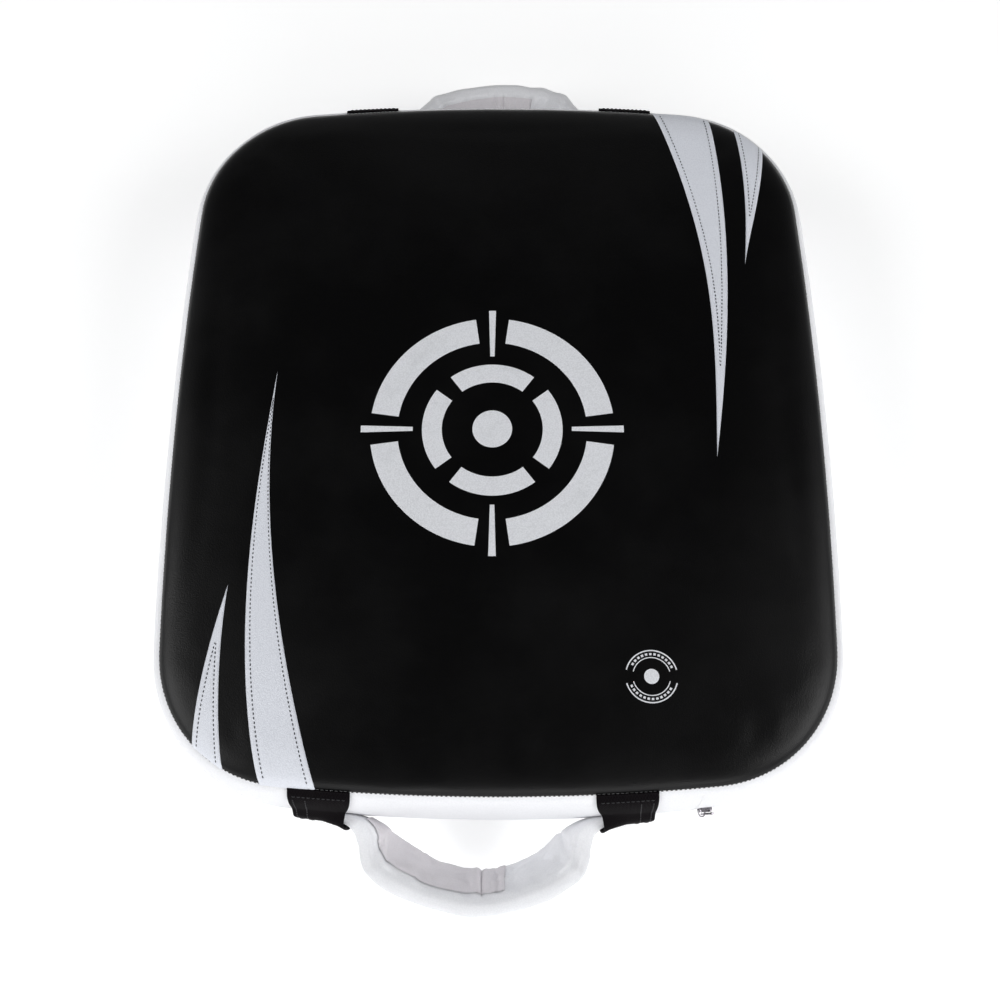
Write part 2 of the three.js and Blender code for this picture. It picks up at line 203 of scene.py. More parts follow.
# %% Finishing helpers
def subdivide(piece):
    """One level of smoothing that keeps the cut corners of a panel."""
    step = piece.modifiers.new("smooth", "SUBSURF")
    step.levels = step.render_levels = 1
    step.boundary_smooth = "PRESERVE_CORNERS"


def tidy_mesh(piece):
    """Turns every face of a closed mesh outwards."""
    work = bmesh.new()
    work.from_mesh(piece.data)
    bmesh.ops.recalc_face_normals(work, faces=work.faces)
    work.to_mesh(piece.data)
    work.free()


def bend_with(piece):
    """Bakes a piece's placement into its points; it rides on no body."""
    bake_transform(piece)


def ease(value, low, high):
    """0 below low, 1 above high, smooth between."""
    t = np.clip((np.asarray(value, float) - low) / (high - low), 0, 1)
    return t * t * (3 - 2 * t)

# %% [markdown]
# ## Shared finishes
#
# An effect that several materials use is a node group: a small machine with
# named inputs and outputs that is built once and placed in each material. The
# first helper makes an empty group, and the second adds a node and sets its
# inputs in one line, so that a group reads like a recipe.

# %% Node helpers
def new_group(name, inputs, outputs):
    tree = bpy.data.node_groups.new(name, "ShaderNodeTree")
    for label, value in inputs.items():
        socket = tree.interface.new_socket(name=label, in_out="INPUT", socket_type="NodeSocketFloat")
        socket.default_value = value
    for label in outputs:
        tree.interface.new_socket(name=label, in_out="OUTPUT", socket_type="NodeSocketFloat")
    return tree, tree.nodes.new("NodeGroupInput"), tree.nodes.new("NodeGroupOutput")


def add_node(tree, kind, values=None, **settings):
    """A node with its settings, and its inputs set or linked by name or number."""
    node = tree.nodes.new("ShaderNode" + kind)
    for key, value in settings.items():
        setattr(node, key, value)
    for key, value in (values or {}).items():
        if isinstance(value, bpy.types.NodeSocket):
            tree.links.new(value, node.inputs[key])
        else:
            node.inputs[key].default_value = value
    return node


def calc(tree, operation, *values):
    """The result of one Math node."""
    return add_node(tree, "Math", dict(enumerate(values)), operation=operation).outputs[0]


def remap(tree, value, low, high, to_low=0.0, to_high=1.0):
    names = {"Value": value, "From Min": low, "From Max": high, "To Min": to_low, "To Max": to_high}
    return add_node(tree, "MapRange", names).outputs[0]


def place_group(tree, group, **values):
    node = tree.nodes.new("ShaderNodeGroup")
    node.node_tree = group
    for key, value in values.items():
        socket = node.inputs[key.replace("_", " ").capitalize()]
        if isinstance(value, bpy.types.NodeSocket):
            tree.links.new(value, socket)
        else:
            socket.default_value = value
    return node


# %% [markdown]
# Synthetic leather is a plastic film embossed with a pebble grain. Two sizes
# of cells make the pebbles, a slow noise makes the soft pull marks that a hand
# sees when it tilts the skin, and a third noise is the faint dulling that
# handling leaves. The group puts out a height for the bump, and masks for the
# tone and the gloss.

# %% Leather grain group
grain_group, given, result = new_group(
    "leather_grain",
    {"Cell size": 0.9, "Pull": 0.3, "Handling": 0.4},
    ["Height", "Tone", "Dull"],
)
place = add_node(grain_group, "TexCoord").outputs["Object"]
per_metre = calc(grain_group, "DIVIDE", 1000.0, given.outputs["Cell size"])
pebbles = add_node(grain_group, "TexVoronoi", {"Vector": place, "Scale": per_metre}, feature="SMOOTH_F1")
pebbles.inputs["Smoothness"].default_value = 0.35
half_size = calc(grain_group, "MULTIPLY", per_metre, 2.3)
specks = add_node(grain_group, "TexNoise", {"Vector": place, "Scale": half_size, "Detail": 2.0})
pulls = add_node(grain_group, "TexNoise", {"Vector": place, "Scale": 26.0, "Detail": 3.0})
wear = add_node(grain_group, "TexNoise", {"Vector": place, "Scale": 9.0, "Detail": 4.0, "Roughness": 0.6})
rounded = remap(grain_group, pebbles.outputs["Distance"], 0.0, 0.75, 1.0, 0.0)
fine_height = calc(grain_group, "MULTIPLY_ADD", specks.outputs["Fac"], 0.35, rounded)
slow_height = calc(grain_group, "MULTIPLY", pulls.outputs["Fac"], given.outputs["Pull"])
grain_group.links.new(calc(grain_group, "ADD", fine_height, slow_height), result.inputs["Height"])
grain_group.links.new(remap(grain_group, fine_height, 0.0, 1.2), result.inputs["Tone"])
marks = remap(grain_group, wear.outputs["Fac"], 0.42, 0.7)
grain_group.links.new(calc(grain_group, "MULTIPLY", marks, given.outputs["Handling"]), result.inputs["Dull"])
print("leather_grain:", len(grain_group.nodes), "nodes")

# %% [markdown]
# Webbing and zip tape are woven. A plain weave is two sets of ribs that take
# turns on top: where one rises the other dips. Sines along the two directions
# of the cloth give that, and they need coordinates that follow the cloth, so
# the woven pieces carry a map of the flat strip they were cut from.

# %% Weave group
weave_group, given, result = new_group(
    "woven_ribs", {"Rib width": 1.4, "Rib length": 2.2, "Fuzz": 0.3}, ["Height", "Shade"]
)
cut = add_node(weave_group, "UVMap", uv_map="cut").outputs["UV"]
axes = add_node(weave_group, "SeparateXYZ", {"Vector": cut})


def ribs(axis, width_socket, shift=0.0):
    turns = calc(weave_group, "DIVIDE", 2000 * math.pi, width_socket)
    return calc(weave_group, "SINE", calc(weave_group, "MULTIPLY_ADD", axes.outputs[axis], turns, shift))


warp = ribs("X", given.outputs["Rib width"])
weft = ribs("Y", given.outputs["Rib length"])
crossed = calc(weave_group, "MULTIPLY", warp, weft)
ridge = calc(weave_group, "ABSOLUTE", warp)
fuzz = add_node(weave_group, "TexNoise", {"Vector": cut, "Scale": 2600.0, "Detail": 3.0})
soft = calc(weave_group, "MULTIPLY", fuzz.outputs["Fac"], given.outputs["Fuzz"])
ridged = calc(weave_group, "MULTIPLY_ADD", ridge, 0.6, soft)
cloth_height = calc(weave_group, "MULTIPLY_ADD", crossed, 0.4, ridged)
weave_group.links.new(cloth_height, result.inputs["Height"])
weave_group.links.new(remap(weave_group, cloth_height, -0.3, 1.2), result.inputs["Shade"])
print("woven_ribs:", len(weave_group.nodes), "nodes")

# %% [markdown]
# Dust and small rubs gather where a thing is handled. This group breaks a soft
# noise into patches and thin scuffs, and each material mixes in a little of
# it, white on black leather and grey on white.

# %% Scuff group
scuff_group, given, result = new_group("light_scuffs", {"Amount": 0.3, "Size": 60.0}, ["Mask"])
place = add_node(scuff_group, "TexCoord").outputs["Object"]
per_metre = calc(scuff_group, "DIVIDE", 1000.0, given.outputs["Size"])
values = {"Vector": place, "Scale": per_metre, "Detail": 5.0, "Roughness": 0.7}
clouds = add_node(scuff_group, "TexNoise", values)
stretched = add_node(scuff_group, "Mapping", {"Vector": place, "Scale": (1.0, 7.0, 3.0)})
streaks = add_node(scuff_group, "TexNoise", {"Vector": stretched.outputs[0], "Scale": 55.0, "Detail": 3.0})
cloud_mask = remap(scuff_group, clouds.outputs["Fac"], 0.52, 0.78)
streak_mask = remap(scuff_group, streaks.outputs["Fac"], 0.62, 0.74, 0.0, 0.6)
either = calc(scuff_group, "MAXIMUM", cloud_mask, streak_mask)
scuff_group.links.new(calc(scuff_group, "MULTIPLY", either, given.outputs["Amount"]), result.inputs["Mask"])
print("light_scuffs:", len(scuff_group.nodes), "nodes")

# %% [markdown]
# ## Leather, webbing, thread, metal and foam
#
# Each material is a Principled shader with a group or two in front of it.
# Numbers that are the same all over the surface are typed straight into the
# shader's own sockets. Only what varies comes in on a link.

# %% Material helpers
def new_material(name, color, roughness, metallic=0.0, specular=0.5):
    material = bpy.data.materials.new(name)
    material.use_nodes = True
    tree = material.node_tree
    shader = tree.nodes["Principled BSDF"]
    shader.inputs["Base Color"].default_value = (*color, 1)
    shader.inputs["Roughness"].default_value = roughness
    shader.inputs["Metallic"].default_value = metallic
    shader.inputs["Specular IOR Level"].default_value = specular
    material.diffuse_color = (*color, 1)
    return material, tree, shader


def mix_color(tree, factor, first, second):
    node = add_node(tree, "Mix", data_type="RGBA")
    tree.links.new(factor, node.inputs["Factor"])
    for key, value in (("A", first), ("B", second)):
        socket = next(s for s in node.inputs if s.name == key and s.type == "RGBA")
        if isinstance(value, bpy.types.NodeSocket):
            tree.links.new(value, socket)
        else:
            socket.default_value = (*value, 1)
    return next(s for s in node.outputs if s.type == "RGBA")


def bump_from(tree, shader, height, depth):
    """Bumps the surface by a height, depth millimetres deep where it is 1."""
    values = {"Height": height, "Distance": depth * MM, "Strength": 1.0}
    bump = add_node(tree, "Bump", values)
    tree.links.new(bump.outputs["Normal"], shader.inputs["Normal"])


def leather(name, color, deep, scuffed, roughness, cell=0.9, depth=0.06, scuff=0.25, shine=0.5):
    """Grained synthetic leather: color on the pebbles, deep between them."""
    material, tree, shader = new_material(name, color, roughness, specular=shine)
    grain = place_group(tree, grain_group, cell_size=cell, pull=0.3, handling=0.5)
    scuffs = place_group(tree, scuff_group, amount=scuff, size=70.0)
    pebbled = mix_color(tree, grain.outputs["Tone"], deep, color)
    tree.links.new(mix_color(tree, scuffs.outputs["Mask"], pebbled, scuffed), shader.inputs["Base Color"])
    duller = calc(tree, "MULTIPLY_ADD", grain.outputs["Dull"], 0.22, roughness)
    shift = calc(tree, "MULTIPLY_ADD", scuffs.outputs["Mask"], 0.3, duller)
    tree.links.new(shift, shader.inputs["Roughness"])
    bump_from(tree, shader, grain.outputs["Height"], depth)
    return material


def woven(name, color, deep, rib=1.4, length=2.2, depth=0.25, sheen=0.03, shine=0.25, lift=0.05):
    """Woven cloth: color on the ribs, deep between them, lint a little paler."""
    material, tree, shader = new_material(name, color, 0.8, specular=shine)
    cloth = place_group(tree, weave_group, rib_width=rib, rib_length=length, fuzz=0.35)
    scuffs = place_group(tree, scuff_group, amount=0.2, size=30.0)
    threads = mix_color(tree, cloth.outputs["Shade"], deep, color)
    lint = tuple(min(1.0, c + lift) for c in color)
    tree.links.new(mix_color(tree, scuffs.outputs["Mask"], threads, lint), shader.inputs["Base Color"])
    shader.inputs["Sheen Weight"].default_value = sheen
    shader.inputs["Sheen Roughness"].default_value = 0.5
    bump_from(tree, shader, cloth.outputs["Height"], depth)
    return material


# %% Leathers and webbing
black_leather = leather("black_face_leather", (0.0013, 0.0012, 0.0014), (0.0008, 0.0008, 0.0009),
                        (0.0035, 0.0035, 0.004), 0.34, cell=0.85, depth=0.05, scuff=0.1, shine=0.24)
white_leather = leather("white_wall_leather", (0.86, 0.865, 0.885), (0.79, 0.795, 0.82),
                        (0.74, 0.74, 0.75), 0.44, cell=0.9, depth=0.06, scuff=0.12)
# The sleeve leather is the wall leather made a little darker: painted shade on the hand loops.
shaded_sleeve_leather = leather("white_sleeve_leather", (0.83, 0.835, 0.855), (0.755, 0.76, 0.785),
                         (0.71, 0.71, 0.72), 0.44, cell=0.9, depth=0.06, scuff=0.12)
# The liner's darker, pinkish grey is painted shade for the inner side of the loops.
liner_leather = leather("grip_liner_leather_shaded", (0.74, 0.715, 0.735), (0.66, 0.635, 0.66),
                        (0.6, 0.58, 0.59), 0.55, cell=0.7, depth=0.05, scuff=0.25)
claw_leather = leather("claw_leather", (0.8, 0.825, 0.88), (0.68, 0.7, 0.76),
                       (0.72, 0.73, 0.77), 0.46, cell=0.8, depth=0.07, scuff=0.15)
black_webbing = woven("black_patch_webbing", (0.0062, 0.0048, 0.0058), (0.0015, 0.0012, 0.0016),
                      sheen=0.0, shine=0.04, lift=0.005)
zip_tape_cloth = woven("white_zip_tape", (0.78, 0.78, 0.8), (0.5, 0.5, 0.53),
                       rib=0.7, length=0.9, depth=0.1)

# %% [markdown]
# Thread is twisted from two or three plies. At this size only the slanting
# light on the plies shows, so a fine slanted wave does it. Nylon zip teeth are
# smooth and a little see-through. Foam is a froth of cells cut open by the
# knife, which is a cell pattern with deep round pits.

# %% Thread, nylon, metal and foam
def thread(name, color):
    material, tree, shader = new_material(name, color, 0.5, specular=0.35)
    place = add_node(tree, "TexCoord").outputs["Object"]
    values = {"Vector": place, "Scale": 1100.0, "Distortion": 0.5}
    plies = add_node(tree, "TexWave", values, bands_direction="DIAGONAL")
    pale = tuple(min(1.0, c * 1.8 + 0.01) for c in color)
    tree.links.new(mix_color(tree, plies.outputs["Fac"], color, pale), shader.inputs["Base Color"])
    bump_from(tree, shader, plies.outputs["Fac"], 0.1)
    return material


def nylon(name, color):
    material, tree, shader = new_material(name, color, 0.35)
    grain = place_group(tree, grain_group, cell_size=0.4, pull=0.2, handling=0.6)
    tree.links.new(calc(tree, "MULTIPLY_ADD", grain.outputs["Dull"], 0.3, 0.3), shader.inputs["Roughness"])
    worn = tuple(c * 0.85 for c in color)
    tree.links.new(mix_color(tree, grain.outputs["Dull"], color, worn), shader.inputs["Base Color"])
    bump_from(tree, shader, grain.outputs["Height"], 0.02)
    return material


def cast_metal(name, color, tarnish):
    material, tree, shader = new_material(name, color, 0.3, metallic=1.0)
    scuffs = place_group(tree, scuff_group, amount=0.9, size=4.0)
    grain = place_group(tree, grain_group, cell_size=0.35, pull=0.4, handling=0.8)
    tree.links.new(mix_color(tree, scuffs.outputs["Mask"], color, tarnish), shader.inputs["Base Color"])
    rougher = calc(tree, "MULTIPLY_ADD", scuffs.outputs["Mask"], 0.35, 0.25)
    tree.links.new(rougher, shader.inputs["Roughness"])
    bump_from(tree, shader, grain.outputs["Height"], 0.02)
    return material


def foam(name, color, cell):
    material, tree, shader = new_material(name, color, 0.9, specular=0.2)
    grain = place_group(tree, grain_group, cell_size=cell, pull=0.6, handling=0.5)
    pits = tuple(c * 0.55 for c in color)
    tree.links.new(mix_color(tree, grain.outputs["Tone"], pits, color), shader.inputs["Base Color"])
    bump_from(tree, shader, grain.outputs["Height"], 0.4)
    return material


black_thread = thread("black_thread", (0.01, 0.01, 0.012))
white_thread = thread("white_thread", (0.72, 0.72, 0.74))
zip_nylon = nylon("zip_nylon", (0.74, 0.74, 0.77))
zip_metal = cast_metal("zip_metal", (0.42, 0.4, 0.43), (0.16, 0.15, 0.165))
strike_foam = foam("strike_foam", (0.045, 0.048, 0.055), 0.6)
core_foam = foam("core_foam", (0.66, 0.61, 0.5), 1.2)
print("materials:", ", ".join(sorted(m.name for m in bpy.data.materials)))

# %% [markdown]
# ## The stuffed cover
#
# The cover is cut as a face, a back and a long wall strip, sewn together
# inside out and turned, then stuffed. Here it starts as one closed skin of
# even cells: a square grid bent to the outline for the face, rings for the
# wall, and the same grid for the back. One skin lets the cloth solver pull on
# every seam at once. It is cut into its panels afterwards.

# %% Stations round the seam
CELLS = 38
STATIONS = 8 * CELLS
ZIP_X = 126.0
zip_start, zip_stop = end_direction(ZIP_X, -1), end_direction(ZIP_X, 1)

quarter_dirs = np.array([-135.0, -45.0, 45.0, 135.0, 225.0])
quarter_len = length_at(quarter_dirs)
quarter_len = np.where(np.diff(quarter_len, prepend=quarter_len[0]) < 0, quarter_len + GIRTH, quarter_len)
quarter_len[-1] = quarter_len[0] + GIRTH
station_len = np.concatenate([
    np.linspace(quarter_len[q], quarter_len[q + 1], 2 * CELLS, endpoint=False) for q in range(4)
])


def snap_station(direction, reach=12):
    """Moves the nearest station onto a direction, easing its neighbours along."""
    gap = (length_at(direction) - station_len + GIRTH / 2) % GIRTH - GIRTH / 2
    nearest = int(np.argmin(abs(gap)))
    steps = np.arange(-reach, reach + 1)
    station_len[(nearest + steps) % STATIONS] += gap[nearest] * (1 - abs(steps) / (reach + 1))
    return nearest


zip_first, zip_last = snap_station(zip_start), snap_station(zip_stop)
station_dir = direction_at(station_len)
print(f"{STATIONS} stations, {GIRTH / STATIONS:.1f} mm apart; zip from station {zip_first} to {zip_last}")

# %% The face grid
DEEPEST = 60.0
ring_insets = HALF_W * (1 - np.arange(CELLS + 1) / CELLS) ** 1.3
CROWN = 1.2  # the middle of the face stands this much proud of its flat


def face_ring(ring):
    """The points of one square ring of the face grid, bent to the outline."""
    inset = ring_insets[ring]
    share = np.arange(8 * ring) / (8 * ring) * STATIONS
    whole_turn = np.append(station_len, station_len[0] + GIRTH)
    directions = direction_at(np.interp(share, np.arange(STATIONS + 1), whole_turn))
    plan = outline(directions, -min(inset, DEEPEST))
    shrink = 1 - max(inset - DEEPEST, 0) / (HALF_W - DEEPEST)
    crown = CROWN * (1 - (1 - inset / HALF_W) ** 2)
    height = float(face_rise(inset)) + crown
    return np.column_stack([plan * shrink, np.full(len(plan), height)])


def ring_index(i, j):
    """Which ring a grid cell corner is on, and where along it."""
    di, dj = i - CELLS, j - CELLS
    k = max(abs(di), abs(dj))
    if k == 0:
        return 0, 0
    if dj == -k and di < k:
        return k, di + k
    if di == k and dj < k:
        return k, 2 * k + dj + k
    if dj == k and di > -k:
        return k, 4 * k + (k - di)
    return k, 6 * k + (k - dj)


rings = [np.array([[0.0, 0.0, THICK + CROWN]])] + [face_ring(k) for k in range(1, CELLS + 1)]
ring_starts = np.cumsum([0] + [len(r) for r in rings])
face_points = np.concatenate(rings)
side = 2 * CELLS + 1
lookup = np.zeros((side, side), int)
for i in range(side):
    for j in range(side):
        ring, spot = ring_index(i, j)
        lookup[i, j] = ring_starts[ring] + spot % max(8 * ring, 1)
face_quads = [
    (lookup[i, j], lookup[i + 1, j], lookup[i + 1, j + 1], lookup[i, j + 1])
    for i in range(side - 1) for j in range(side - 1)
]
rim = np.arange(ring_starts[CELLS], ring_starts[CELLS + 1])
print(f"face grid: {len(face_points)} points, {len(face_quads)} cells")

# %% [markdown]
# The wall goes down from the front seam to the back seam as rings. Two of its
# rings lie on the edges of the zip slot. The seams themselves are drawn in by
# a little, because thread pulls the skin into the stuffing.

# %% The wall rings and the closed skin
TUCK = 0.4
ZIP_SLOT = 6.3
slot_turn = math.degrees(math.acos(ZIP_SLOT / WALL_HALF))
wall_turns = np.concatenate([
    np.linspace(0, slot_turn, 10)[1:], [90.0], 180 - np.linspace(0, slot_turn, 10)[1:][::-1],
])


def wall_ring(turn):
    out = BULGE * math.sin(math.radians(turn))
    z = MID_Z + WALL_HALF * math.cos(math.radians(turn))
    return np.column_stack([outline(station_dir, out), np.full(STATIONS, z)])


back_points = face_points * (1, 1, -1) + (0, 0, THICK)
wall_points = np.concatenate([wall_ring(turn) for turn in wall_turns])
skin = np.concatenate([face_points, wall_points, back_points])
wall_at, back_at = len(face_points), len(face_points) + len(wall_points)
wall_rows = np.concatenate([
    rim[None], wall_at + np.arange(len(wall_turns) * STATIONS).reshape(-1, STATIONS), back_at + rim[None],
])
seam_rings = np.concatenate([rim, back_at + rim])
plan = outline(station_dir, -TUCK)
skin[rim, :2] = plan
skin[back_at + rim, :2] = plan
row_faces = grid_faces(len(wall_rows), STATIONS, wrap_columns=True, flip=True)
flat_rows = wall_rows.ravel()
wall_quads = [tuple(flat_rows[k] for k in quad) for quad in row_faces]
back_quads = [tuple(back_at + k for k in reversed(quad)) for quad in face_quads]
print(f"closed skin: {len(skin)} points, wall of {len(wall_rows)} rows")

# %% [markdown]
# ## Stuffing it
#
# Blender's cloth solver with a little air pressure swells the skin between its
# seams the way stuffing does, and leaves the small uneven pulls that a plain
# formula lacks. The seams are pinned. How far a point may move is capped, as
# foam layers, unlike air, hold the face nearly flat. The cap is smallest near
# the edge of the face, where the foam is pared to a firm round.

# %% Cloth simulation of the cover
FACE_CAP, WALL_CAP = 1.6, 3.5


def stuffed(points, faces, pinned, cap, pressure=4.0, frames=20, slack=0.0):
    """The points after a capped cloth simulation under pressure."""
    mesh = bpy.data.meshes.new("stuffing")
    mesh.from_pydata([tuple(p) for p in points * MM], [], faces)
    dummy = bpy.data.objects.new("stuffing", mesh)
    scene = bpy.context.scene
    scene.collection.objects.link(dummy)
    pins = dummy.vertex_groups.new(name="pins")
    pins.add([int(k) for k in pinned], 1.0, "REPLACE")
    cloth = dummy.modifiers.new("cloth", "CLOTH")
    rules = cloth.settings
    rules.vertex_group_mass = "pins"
    rules.use_pressure = True
    rules.uniform_pressure_force = pressure
    rules.effector_weights.gravity = 0.0
    rules.mass = 0.3
    rules.shrink_min = -slack
    rules.quality = 5
    cloth.point_cache.frame_start, cloth.point_cache.frame_end = 1, frames
    for frame_number in range(1, frames + 1):
        scene.frame_set(frame_number)
    seen = dummy.evaluated_get(bpy.context.evaluated_depsgraph_get())
    moved = np.zeros(len(points) * 3)
    seen.data.vertices.foreach_get("co", moved)
    scene.frame_set(1)
    bpy.data.objects.remove(dummy)
    bpy.data.meshes.remove(mesh)
    shift = moved.reshape(-1, 3) / MM - points
    size = np.maximum(np.linalg.norm(shift, axis=1), 1e-9)
    limit = np.broadcast_to(cap, size.shape)
    return points + shift * (np.tanh(size / limit) * limit / size)[:, None]


zip_stations = np.arange(zip_first, zip_last + STATIONS * (zip_last < zip_first) + 1) % STATIONS
slot_rows = [9, 11]  # the wall rows on the edges of the zip slot
pinned = np.concatenate([
    seam_rings, wall_rows[:, zip_first], wall_rows[:, zip_last],
    *[wall_rows[row, zip_stations] for row in slot_rows],
])
ring_caps = 0.3 + (FACE_CAP - 0.3) * ease(ring_insets, 10, 70)
face_caps = np.repeat(ring_caps, [len(ring) for ring in rings])
caps = np.concatenate([face_caps, np.full(len(wall_points), WALL_CAP), face_caps])
filled = stuffed(skin, face_quads + wall_quads + back_quads, pinned, caps)
grown = np.linalg.norm(filled - skin, axis=1)
print(f"stuffing moved points by up to {grown.max():.1f} mm, {grown.mean():.2f} mm on average")

# %% [markdown]
# The back rests on the floor, so whatever of it bulged below the floor is
# pressed flat. Then the thread shows: each panel puckers a little where the
# seam draws it in, more in some places than in others.

# %% Press the back flat and pucker the seams
filled[:, 2] = np.maximum(filled[:, 2], 0.15)
rng = np.random.default_rng(7)
pucker_phase = rng.uniform(0, 2 * math.pi, 6)
around = 2 * math.pi * np.arange(STATIONS) / STATIONS


def pucker(seed):
    """A slow, uneven wave right round the seam, between -1 and 1."""
    wave = np.zeros(STATIONS)
    for phase, times in zip(pucker_phase, (5, 9, 14, 23, 31, 44)):
        wave += math.sin(seed + phase) * np.sin(around * times + phase * (seed + 1))
    return wave / np.abs(wave).max()


for row, depth, seed in ((1, 0.5, 1), (2, 0.35, 1), (-2, 0.5, 2), (-3, 0.35, 2)):
    push = normal_of(station_dir) * (pucker(seed) * depth)[:, None]
    filled[wall_rows[row], :2] += push
next_ring = np.arange(ring_starts[CELLS - 1], ring_starts[CELLS])
wave = np.interp(np.linspace(0, STATIONS, len(next_ring)), np.arange(STATIONS), pucker(3))
filled[next_ring, 2] += 0.35 * wave

# %% [markdown]
# Along the zip the two strips end in folded edges. Each fold is one more row of
# points behind the slot, so these rows are added to the skin. Then the skin is
# cut into the five panels that the real cover is sewn from.

# %% Cut the skin into its panels
HEM_DEEP, HEM_BACK = 2.6, 0.8  # how far a fold goes in, and back from the slot


def folded_edge(row, away):
    """The points of the fold behind a slot row."""
    folded = filled[wall_rows[row, zip_stations]].copy()
    folded[:, :2] -= normal_of(station_dir[zip_stations]) * HEM_DEEP
    folded[:, 2] += away * HEM_BACK
    return folded


def fold_quads(row, first, away):
    """The quads from a slot row to its fold, whose points start at first."""
    edge = wall_rows[row, zip_stations]
    fold = first + np.arange(len(edge))
    pairs = range(len(edge) - 1)
    if away > 0:
        return [(edge[k], fold[k], fold[k + 1], edge[k + 1]) for k in pairs]
    return [(edge[k + 1], fold[k + 1], fold[k], edge[k]) for k in pairs]


def panel(name, quads, material, replaced, slot):
    """One sewn panel, cut out of the stuffed skin."""
    used = np.unique(np.array(quads).ravel())
    renumber = {int(k): n for n, k in enumerate(used)}
    faces = [tuple(renumber[int(k)] for k in quad) for quad in quads]
    piece = make_piece(name, filled[used], faces, material, slot=slot)
    subdivide(piece)
    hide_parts(*replaced)
    return piece


BLACK_SLOT, WHITE_SLOT = "black_synthetic_leather", "white_synthetic_leather"
strike_face = panel("strike_face_cover", face_quads, black_leather, ["front_panel"], BLACK_SLOT)
back_cover = panel("back_cover", back_quads, black_leather, ["back_panel"], BLACK_SLOT)

in_zip = np.zeros(STATIONS, bool)
in_zip[zip_stations[:-1]] = True
wall_split = {"main": [], "front": [], "rear": []}
for number, quad in enumerate(wall_quads):
    row, column = divmod(number, STATIONS)
    if not in_zip[column]:
        wall_split["main"].append(quad)
    elif row < slot_rows[0]:
        wall_split["front"].append(quad)
    elif row >= slot_rows[1]:
        wall_split["rear"].append(quad)
folds = [folded_edge(slot_rows[0], 1), folded_edge(slot_rows[1], -1)]
wall_split["front"] += fold_quads(slot_rows[0], len(filled), 1)
wall_split["rear"] += fold_quads(slot_rows[1], len(filled) + len(zip_stations), -1)
filled = np.concatenate([filled, *folds])
wall_main = panel("wall_main_cover", wall_split["main"], white_leather, ["main_gusset_panel"], WHITE_SLOT)
strips = []
for part in ("front", "rear"):
    replaced = [f"zip_gusset_{part}_strip"]
    strips.append(panel(f"wall_zip_{part}_cover", wall_split[part], white_leather, replaced, WHITE_SLOT))
for piece in (strike_face, back_cover, wall_main, *strips):
    print(f"{piece.name}: {len(piece.data.polygons)} cells")

# %% [markdown]
# ## Laying things on the cover
#
# Everything sewn or printed on the cover has to follow its stuffed surface, so
# the finished panels go into a search tree. One helper drops a point straight
# down onto the face, and one finds the nearest place on the wall.

# %% Search trees
def surface_tree(*pieces):
    """A search tree over the final surfaces of some pieces."""
    graph = bpy.context.evaluated_depsgraph_get()
    points, faces = [], []
    for piece in pieces:
        seen = piece.evaluated_get(graph).to_mesh()
        start = len(points)
        points += [v.co.copy() for v in seen.vertices]
        faces += [tuple(start + k for k in f.vertices) for f in seen.polygons]
    return BVHTree.FromPolygons(points, faces)


bpy.context.view_layer.update()
face_tree = surface_tree(strike_face)
wall_tree = surface_tree(wall_main, *strips)


def on_face(x, y, lift=0.0):
    """(point, normal) in millimetres on the strike face above x, y."""
    hit, normal, _, _ = face_tree.ray_cast(Vector((x * MM, y * MM, 0.3)), Vector((0, 0, -1)))
    if hit is None:
        hit, normal, _, _ = face_tree.find_nearest(Vector((x * MM, y * MM, SEAM_Z * MM)))
    normal = normal if normal.z > 0 else -normal
    return np.array(hit) / MM + np.array(normal) * lift, np.array(normal)


def nearest_on(tree, x, y, z, lift=0.0):
    """(point, outward normal) in millimetres on a surface, nearest to a point."""
    hit, normal, _, _ = tree.find_nearest(Vector((x * MM, y * MM, z * MM)))
    normal = np.array(normal)
    if normal[0] * x + normal[1] * y < 0:
        normal = -normal
    return np.array(hit) / MM + normal * lift, normal


def on_wall(x, y, z, lift=0.0):
    return nearest_on(wall_tree, x, y, z, lift)


middle_height = on_face(0, 0)[0][2]
print(f"face middle is {middle_height:.1f} mm above the floor")

# %% [markdown]
# ## Stitches
#
# A row of stitches is a line of short threads, each diving under the leather
# at both ends. One template, a little sausage with pinched ends, is copied
# along a path. The template is turned so that its long way follows the path
# and its back faces off the surface.

# %% Stitch maker
def thread_template(length, radius, sides=6):
    """Points and faces of one stitch: x along it, z off the surface."""
    half = [(-0.5, 0.35, -0.9), (-0.36, 0.85, -0.1)]
    spots = half + [(0.0, 1.0, 0.25)] + [(-along, fat, rise) for along, fat, rise in half[::-1]]
    points = []
    for along, fat, rise in spots:
        for k in range(sides):
            turn = 2 * math.pi * k / sides
            y, z = math.cos(turn) * fat, math.sin(turn) * fat + rise
            points.append((along * length, y * radius, z * radius))
    return np.array(points), capped(grid_faces(len(spots), sides, wrap_columns=True), len(spots), sides)


def even_steps(path, pitch):
    """Places along a path of (x, y, z), one pitch apart, with the way along."""
    path = np.asarray(path, float)
    lengths = np.append(0, np.cumsum(np.linalg.norm(np.diff(path, axis=0), axis=1)))
    count = max(int(lengths[-1] // pitch), 1)
    at = (np.arange(count) + 0.5) * lengths[-1] / count
    here = np.stack([np.interp(at, lengths, path[:, k]) for k in range(3)], -1)
    ahead = np.stack([np.interp(at + 0.3, lengths, path[:, k]) for k in range(3)], -1)
    behind = np.stack([np.interp(at - 0.3, lengths, path[:, k]) for k in range(3)], -1)
    way = ahead - behind
    return here, way / np.linalg.norm(way, axis=1)[:, None]


